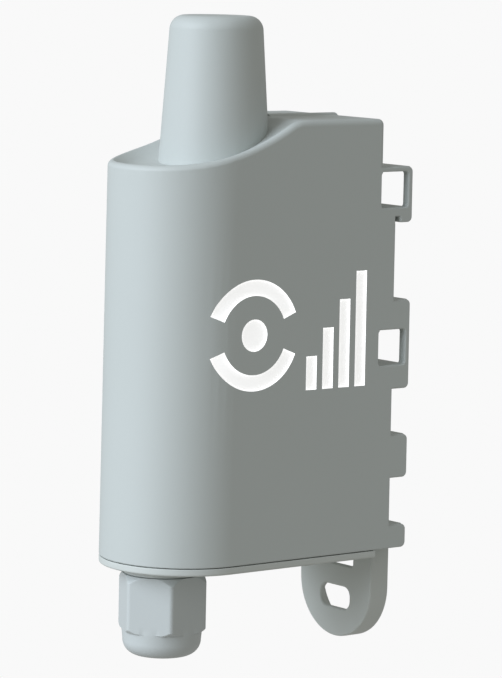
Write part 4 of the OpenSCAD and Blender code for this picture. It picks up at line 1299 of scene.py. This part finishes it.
def closing_screw(name, x, y):
    core = turned(name + "_core", SCREW_PROFILE, (x, y, 0.0), 48)
    for wide, deep in ((CROSS_LONG, CROSS_WIDE), (CROSS_WIDE, CROSS_LONG)):
        bar = ((x - wide, y - deep, CROSS_FOOT), (x + wide, y + deep, CROSS_TOP))
        cut_away(core, boxed("cross", [bar], 0.0))
    in_material(smooth_by_angle(core, 40.0), bright_steel)
    ridge = wound(name + "_ridge", bright_steel, (x, y), THREAD_LOW, THREAD_HIGH, THREAD_PITCH, THREAD_R,
                  THREAD_RIDGE, steps=24)
    return joined(name, core, ridge)


for i, (x, y) in enumerate(SCREWS_AT, 1):
    placed(closing_screw("closing_screw_%d" % i, x, y), "case_screw_%d" % i, "closing_screw_%d" % i)

# %% [markdown]
# ## The aerial
# The aerial is a spring-like wire wound round a mandrel and soldered to the board by its foot. The packed
# model has it as a plain coil. The helix tree makes it with a round section and many steps, because its
# curve shows against the light, and a short laid wire leads its foot to the board.

# %% Wind the aerial
# Axis, radius, half the wire, pitch, turns and the height of the foot.
COIL_AT, COIL_R, COIL_WIRE, COIL_PITCH, COIL_TURNS, COIL_FOOT = (0.0, 18.6), 2.6, 0.43, 1.45, 11, 66.5
coil = wound("coil", spring_wire, COIL_AT, COIL_FOOT, COIL_FOOT + COIL_TURNS * COIL_PITCH, COIL_PITCH,
             COIL_R, COIL_WIRE, run_in=0.0, sides=16, steps=48)
coil_foot = laid("coil_foot", spring_wire, [(x, COIL_AT[1], COIL_FOOT) for x in (-4.3, -3.4, -COIL_R)],
                 COIL_WIRE, 0.3)
placed(joined("aerial_wire", coil, coil_foot), "aerial_coil", "base")

# %% [markdown]
# ## The cell
# A primary cell is a steel can in a shrunk sleeve that laps over both ends. A cylinder with two colours
# would miss the lap, which is what makes a cell look like one. So the sleeve and the can are two
# profiles, and the can shows at the foot and as the raised cap.

# %% Turn the cell
# The middle of the foot, the radius over the sleeve and the length with the cap.
CELL_AT, CELL_R, CELL_L = (3.445, 34.105, 13.0), 7.245, 50.5
SLEEVE_PROFILE = [(5.4, 0.12), (6.5, 0.0), (7.0, 0.12), (CELL_R, 0.7), (CELL_R, 48.7), (7.0, 49.18),
                  (6.5, 49.3), (5.6, 49.18), (5.6, 48.9), (5.4, 0.5), (5.4, 0.12)]
CAN_PROFILE = [(0.0, 0.2), (2.4, 0.2), (2.7, 0.38), (5.5, 0.38), (5.5, 48.98), (3.1, 48.98), (2.7, 49.2),
               (2.6, 50.2), (2.3, CELL_L), (0.0, CELL_L)]
sleeve = in_material(turned("sleeve", SLEEVE_PROFILE, CELL_AT), cell_sleeve)
can = in_material(turned("can", CAN_PROFILE, CELL_AT), tinned)
placed(joined("cell", sleeve, can), "power_cell", "base")

# %% [markdown]
# ## The cell's leads
# Two leads run from the cell's cap and foot to its plug, red and black. They are held at both ends and
# can't swing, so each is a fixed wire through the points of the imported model. Straight stretches would
# look like bent rod, so the tree bends the wire smoothly through the same points.

# %% Lay the leads
# The cap's height, the place where both leads enter the plug, and half a lead.
CELL_TOP, LEAD_X, LEAD_END, SOCKET_Y, LEAD_WIRE = 63.5, -2.0, 46.6, 19.4, 0.62
cx, cy, cz = CELL_AT
CAP_ROUTE = [
    (cx, cy, CELL_TOP), (cx, cy, CELL_TOP + 1), (cx, cy - 1.6, CELL_TOP + 2), (cx, cy - 5.5, CELL_TOP + 2),
    (cx, cy - 8.6, CELL_TOP + 0.4), (cx - 0.4, cy - 9.6, CELL_TOP - 3), (cx - 1.6, cy - 10.4, CELL_TOP - 7),
    (LEAD_X + 0.8, SOCKET_Y - 0.6, LEAD_END + 6), (LEAD_X, SOCKET_Y - 1, LEAD_END + 3),
    (LEAD_X, SOCKET_Y - 1, LEAD_END)]
FOOT_ROUTE = [
    (cx, cy, cz), (cx, cy, cz - 1), (cx, cy - 1.8, cz - 1.9), (cx, cy - 6.5, cz - 1.6),
    (cx, cy - 9, cz + 1), (cx - 0.2, cy - 9.6, cz + 6), (cx - 0.6, cy - 9.7, cz + 15),
    (cx - 1.2, cy - 9.8, cz + 24), (cx - 2, cy - 10, cz + 32), (cx - 3.6, cy - 11, LEAD_END + 3.4),
    (LEAD_X + 0.4, SOCKET_Y + 1.5, LEAD_END + 3.6), (LEAD_X, SOCKET_Y + 1, LEAD_END + 1.6),
    (LEAD_X, SOCKET_Y + 1, LEAD_END)]
leads = [laid("lead_cap", red_jacket, CAP_ROUTE, LEAD_WIRE, 0.8),
         laid("lead_foot", black_rubber, FOOT_ROUTE, LEAD_WIRE, 0.8)]
placed(joined("leads", *leads), "cell_leads", "base")

# %% [markdown]
# ## Plug and socket
# The leads end in a small nylon plug that latches into an open socket on the board. Both are moulded from
# plain blocks, so lists of softened boxes give them: a body, a step and a latch for the plug, a foot and
# four walls for the socket.

# %% Box the plug and the socket
plug = boxed("plug", [((-3.6, 16.9, 41.2), (-0.4, 21.9, 46.6)), ((-3.1, 17.5, 46.3), (-0.9, 21.3, 46.9)),
                      ((-0.5, 18.4, 43.6), (-0.15, 20.4, 46.0))], 0.18)
placed(in_material(plug, natural_nylon), "cell_plug", "base")
socket = boxed("socket", [((-4.2, 16.1, 39.0), (0.2, 22.7, 41.2)), ((-4.2, 16.1, 41.0), (-3.7, 22.7, 43.2)),
                          ((-0.3, 16.1, 41.0), (0.2, 22.7, 43.2)), ((-4.2, 16.1, 41.0), (0.2, 16.8, 43.2)),
                          ((-4.2, 22.0, 41.0), (0.2, 22.7, 43.2))], 0.12)
placed(in_material(socket, natural_nylon), "cell_socket", "base")

# %% [markdown]
# ## The chip
# A chip is a black epoxy block with a dimple at its first leg and a row of gull-wing legs on each side.
# The block alone would look like a tile, because the eye knows the legs. One leg is modelled, a row of
# twelve is made from it, and the ring tree turns that row to the four sides.

# %% Make the chip's body
# The two sides of the board in X, then the chip's middle and half its width.
BOARD_BACK, BOARD_FACE = -5.8, -4.2
CHIP_Y, CHIP_Z, CHIP_HALF = 16.5, 25.0, 3.4
chip_body = boxed("chip_body", [((BOARD_BACK - 1.15, CHIP_Y - CHIP_HALF, CHIP_Z - CHIP_HALF),
                                 (BOARD_BACK - 0.12, CHIP_Y + CHIP_HALF, CHIP_Z + CHIP_HALF))], 0.16)
dimple = as_item(turned("dimple", [(0.0, 0.0), (0.36, 0.0), (0.36, 0.3), (0.0, 0.3)], (0.0, 0.0, 0.0), 24))
dimple.data.transform(Matrix.Translation(in_part((BOARD_BACK - 1.05, CHIP_Y - 2.5, CHIP_Z + 2.5)))
                      @ Matrix.Rotation(math.radians(-90), 4, "Y"))
cut_away(chip_body, dimple)
in_material(chip_body, black_epoxy)
print("chip body faces:", len(chip_body.data.polygons))

# %% Make the chip's legs
# Legs on a side, their pitch and half their width; the profile is (Y, X) from the chip's middle.
LEGS, LEG_STEP, LEG_HALF = 12, 0.5, 0.12
LEG_PROFILE = [(3.3, -0.55), (3.62, -0.55), (3.72, -0.45), (3.78, -0.14), (3.98, -0.14), (3.98, 0.0),
               (3.66, 0.0), (3.6, -0.36), (3.55, -0.43), (3.3, -0.43)]


def leg_mesh():
    """One gull-wing leg, in metres, that reaches out along +Y from the chip's centre."""
    sheet = bmesh.new()
    ends = [[sheet.verts.new((x * MM, y * MM, z * MM)) for y, x in LEG_PROFILE]
            for z in (-LEG_HALF, LEG_HALF)]
    n = len(LEG_PROFILE)
    sheet.faces.new(ends[0])
    sheet.faces.new(list(reversed(ends[1])))
    for k in range(n):
        j = (k + 1) % n
        sheet.faces.new((ends[0][k], ends[1][k], ends[1][j], ends[0][j]))
    bmesh.ops.recalc_face_normals(sheet, faces=sheet.faces)
    mesh = bpy.data.meshes.new("leg")
    sheet.to_mesh(mesh)
    sheet.free()
    return mesh


one_side = row.run("one_side", tinned, leg_mesh(), Count=LEGS, Step=(0.0, 0.0, LEG_STEP * MM))
one_side.data.transform(Matrix.Translation((0.0, 0.0, -(LEGS - 1) / 2 * LEG_STEP * MM)))
legs = ring.run("chip_legs", tinned, mesh_of(one_side), Count=4, Axis=ACROSS)
legs.data.transform(Matrix.Translation(in_part((BOARD_BACK, CHIP_Y, CHIP_Z))))
placed(joined("controller", chip_body, legs), "controller_chip", "base")

# %% [markdown]
# ## Small parts in rows
# Resistors and capacitors are ceramic blocks with tinned ends, set down by a machine at an even pitch. A
# block in one colour would pass from afar. Two boxes for the ends cost little and catch the light as
# solder does, and the row tree repeats them.

# %% Make the small parts
# Length of a tinned end, and sizes as height over the board, width and length.
END_CAP = 0.28
SMALL_PART = (0.7, 1.4, 0.9)
LAMP = (0.9, 1.6, 1.2)


def board_part(name, size, material):
    """One part with tinned ends along its longer side, its low corner at the case's zero point."""
    axis = 1 if size[1] > size[2] else 2
    low, high = [0.03, 0.0, 0.0], list(size)
    low[axis] += END_CAP * 0.8
    high[axis] -= END_CAP * 0.8
    body = in_material(boxed(name, [(low, high)], 0.04), material)
    caps = []
    for start in (0.0, size[axis] - END_CAP):
        low, high = [0.0] * 3, list(size)
        low[axis], high[axis] = start, start + END_CAP
        caps.append((low, high))
    return as_item(body), as_item(in_material(boxed(name + "_ends", caps, 0.05), tinned))


def on_board(size, y, z):
    """The low corner of a part that stands on the back of the board."""
    return BOARD_BACK - size[0], y, z


standing = (SMALL_PART[0], SMALL_PART[2], SMALL_PART[1])
small_rows = repeated("low_row", board_part("resistor", SMALL_PART, black_epoxy),
                      on_board(SMALL_PART, 9.5, 31.0), 5, (0.0, 2.6, 0.0))
small_rows += repeated("side_column", board_part("ceramic", standing, tan_ceramic),
                       on_board(standing, 21.3, 21.9), 4, (0.0, 0.0, 2.4))
placed(joined("small_part_rows", *small_rows), "small_parts", "base")
lamps = repeated("lamps", board_part("lamp", LAMP, yellow_resin),
                 on_board(LAMP, 26.5, 56.0), 2, (0.0, 3.5, 0.0))
placed(joined("lamp_pair", *lamps), "status_lights", "base")

# %% [markdown]
# ## The service header
# A header is a black comb of blocks with a gilt pin through each. Its blocks have cut corners where it
# snaps apart, so each block is a box of its own with a wide chamfer, and the pins are one pin in a row.

# %% Make the header
# Pins, their pitch and half their width, then the comb's low corner and its depth.
PINS, PIN_PITCH, PIN_HALF = 5, 2.54, 0.32
HEADER_Y, HEADER_Z, HEADER_DEEP = 8.6, 34.0, 2.5
header_boxes = [((BOARD_FACE, HEADER_Y, HEADER_Z + k * PIN_PITCH + 0.05),
                 (BOARD_FACE + HEADER_DEEP, HEADER_Y + HEADER_DEEP, HEADER_Z + (k + 1) * PIN_PITCH - 0.05))
                for k in range(PINS)]
header_body = in_material(boxed("header_body", header_boxes, 0.3, 1), black_epoxy)
pin = as_item(boxed("pin", [((-2.2, -PIN_HALF, -PIN_HALF), (5.65, PIN_HALF, PIN_HALF))], 0.14, 1))
first_pin = (BOARD_FACE, HEADER_Y + HEADER_DEEP / 2, HEADER_Z + PIN_PITCH / 2)
pins = repeated("pins", [in_material(pin, gold)], first_pin, PINS, (0.0, 0.0, PIN_PITCH))
placed(joined("header", header_body, *pins), "service_header", "base")

# %% [markdown]
# ## The radio module
# The module is a small board of its own under a tinned can, soldered down by gilt pads along two edges.
# The can alone would float on the board. One pad is modelled for the near edge and mirrored for the far
# one, with its faces turned back outwards, and the row tree repeats both.

# %% Make the radio module
# The module's low corner, its width and height, and the margin round the can.
RADIO_Y, RADIO_Z, RADIO_WIDE, RADIO_TALL, RADIO_RIM = 8.6, 34.0, 16.0, 19.0, 0.8
RADIO_PADS, PAD_PITCH, PAD_START = 13, 1.35, 1.4
radio_base = boxed("radio_base", [((BOARD_BACK - 0.8, RADIO_Y, RADIO_Z),
                                   (BOARD_BACK, RADIO_Y + RADIO_WIDE, RADIO_Z + RADIO_TALL))], 0.05)
radio_can = boxed("radio_can", [((BOARD_BACK - 2.6, RADIO_Y + RADIO_RIM, RADIO_Z + RADIO_RIM),
                                 (BOARD_BACK - 0.75, RADIO_Y + RADIO_WIDE - RADIO_RIM,
                                  RADIO_Z + RADIO_TALL - RADIO_RIM))], 0.35, 3)
near_pad = as_item(boxed("near_pad", [((-0.83, -0.05, -0.3), (0.0, 0.7, 0.3))], 0.03))
far_pad = add_object("far_pad", near_pad.data.copy())
far_pad.data.transform(Matrix.Scale(-1.0, 4, BACK))
far_pad.data.flip_normals()
pads = []
for pad, y in ((near_pad, RADIO_Y), (far_pad, RADIO_Y + RADIO_WIDE)):
    pads += repeated("pads", [in_material(pad, gold)], (BOARD_BACK, y, RADIO_Z + PAD_START), RADIO_PADS,
                     (0.0, 0.0, PAD_PITCH))
radio = joined("radio", in_material(radio_base, green_board), in_material(radio_can, tinned), *pads)
placed(radio, "radio_module", "base")

# %% [markdown]
# ## Plated holes
# Gilt rings where tracks change sides are strewn over the board. Painted dots would do from far off, but
# these stand a hair proud and glint. One ring is turned, and the scatter tree sets it on a thinned grid.

# %% Scatter the plated holes
# One plated ring through the board, and the middle of the board.
VIA_PROFILE = [(0.17, -0.83), (0.4, -0.83), (0.4, 0.83), (0.17, 0.83), (0.17, -0.83)]
BOARD_MIDDLE = ((BOARD_BACK + BOARD_FACE) / 2, 25.5, 34.5)
via = as_item(turned("via", VIA_PROFILE, (0.0, 0.0, 0.0), 16))
vias = scatter.run("vias", gold, mesh_of(via), Long=44.0 * MM, Wide=25.0 * MM, Columns=18, Rows=11,
                   Dropped=0.62, Shake=0.45 * MM, Seed=7)
vias.data.transform(Matrix.Translation(in_part(BOARD_MIDDLE)) @ Matrix.Rotation(math.radians(90), 4, "Y"))
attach(vias, "base")

# %% [markdown]
# ## The lying capacitor
# It is a rolled can in a blue sleeve with a groove near its legs, which bend over into the board. A box
# would do from afar. A profile gives the can with the groove, and each leg is a laid wire, since a bent
# leg is a curve.

# %% Turn the capacitor and bend its legs
# The middle of its foot, its outline as (radius, height), and a leg as (X, Z) from that foot.
BUFFER_AT = (BOARD_BACK - 2.5, 30.5, 18.5)
BUFFER_PROFILE = [(0.0, 0.0), (1.9, 0.0), (2.3, 0.12), (2.5, 0.5), (2.5, 9.3), (2.25, 9.8), (2.25, 10.1),
                  (2.5, 10.6), (2.5, 11.6), (2.25, 11.9), (1.8, 12.0), (1.7, 11.8), (0.0, 11.8)]
BUFFER_LEG = [(0.0, 11.6), (0.0, 12.1), (0.3, 12.35), (0.8, 12.4), (2.5, 12.4)]


def bent_leg(name, at, path, wire, off=0.0):
    """A leg along (X, Z) steps from a part's foot, beside it by a distance in Y."""
    return laid(name, tinned, [(at[0] + x, at[1] + off, at[2] + z) for x, z in path], wire, 0.2)


buffer_can = in_material(turned("capacitor_can", BUFFER_PROFILE, BUFFER_AT), blue_sleeve)
buffer_legs = [bent_leg("capacitor_leg", BUFFER_AT, BUFFER_LEG, 0.3, off) for off in (-1.05, 1.05)]
placed(joined("capacitor", buffer_can, *buffer_legs), "buffer_capacitor", "base")

# %% [markdown]
# ## The reed switch
# Two springy blades overlap in a sealed glass tube and close when a magnet comes near. The glass could be
# left solid, but then the switch reads as a resistor. So the tube lets light through, the blades are
# boxes inside it, and the legs at both ends bend over to the board.

# %% Turn the tube and set the blades
# The tube's lower end, its length, and the blades' distances from its axis and half width.
REED_AT = (BOARD_BACK - 1.6, 33.0, 37.0)
REED_L, BLADE_NEAR, BLADE_FAR, BLADE_HALF = 12.0, 0.12, 0.32, 0.45
TUBE_PROFILE = [(0.0, 0.0), (0.55, 0.12), (0.9, 0.45), (1.1, 1.1), (1.1, 10.9), (0.9, 11.55), (0.55, 11.88),
                (0.0, REED_L)]
REED_LEG = [(0.0, 0.0), (0.0, 0.9), (0.3, 1.4), (0.8, 1.5), (1.6, 1.5)]
rx, ry, rz = REED_AT
tube = in_material(turned("reed_tube", TUBE_PROFILE, REED_AT, 48), reed_glass)
BLADES = ((-BLADE_FAR, -BLADE_NEAR, 0.3, 6.6), (BLADE_NEAR, BLADE_FAR, 5.4, 11.7))
blades = boxed("blades", [((rx + near, ry - BLADE_HALF, rz + low), (rx + far, ry + BLADE_HALF, rz + high))
                          for near, far, low, high in BLADES], 0.03)
reed_legs = [bent_leg("reed_leg", REED_AT, [(x, foot + way * z) for x, z in REED_LEG], 0.28)
             for way, foot in ((-1, 0.2), (1, REED_L - 0.2))]
placed(joined("reed", tube, in_material(blades, tinned), *reed_legs), "reed_switch", "base")

# %% [markdown]
# ## The rest keeps its shape with softer edges
# Stamped and moulded small pieces are right as packed, apart from edges that no tool leaves that sharp.
# They could be modelled again, but a copy with a small round on every convex edge keeps them true to the
# model.

# %% Soften the stamped and moulded pieces
SOFTENED = [("cell_clips", "base", 0.08, bright_steel), ("terminal_block", "base", 0.12, green_nylon)]
SOFTENED += [(name, name, 0.05, bright_steel) for name in ("terminal_screw_1", "terminal_screw_2")]
SOFTENED += [(name, name, 0.04, tinned) for name in ("clamp_cage_1", "clamp_cage_2")]
SOFTENED += [("board_screws", "base", 0.08, bright_steel), ("gland_claw", "base", 0.06, white_nylon)]


def all_round(width):
    return lambda edge, angle: width if angle > 30.0 and edge.is_convex else 0.0


for node, body, width, material in SOFTENED:
    soft_copy = rounded_copy(node, node + "_soft", all_round(width), segments=2)
    placed(in_material(soft_copy, material), node, body)
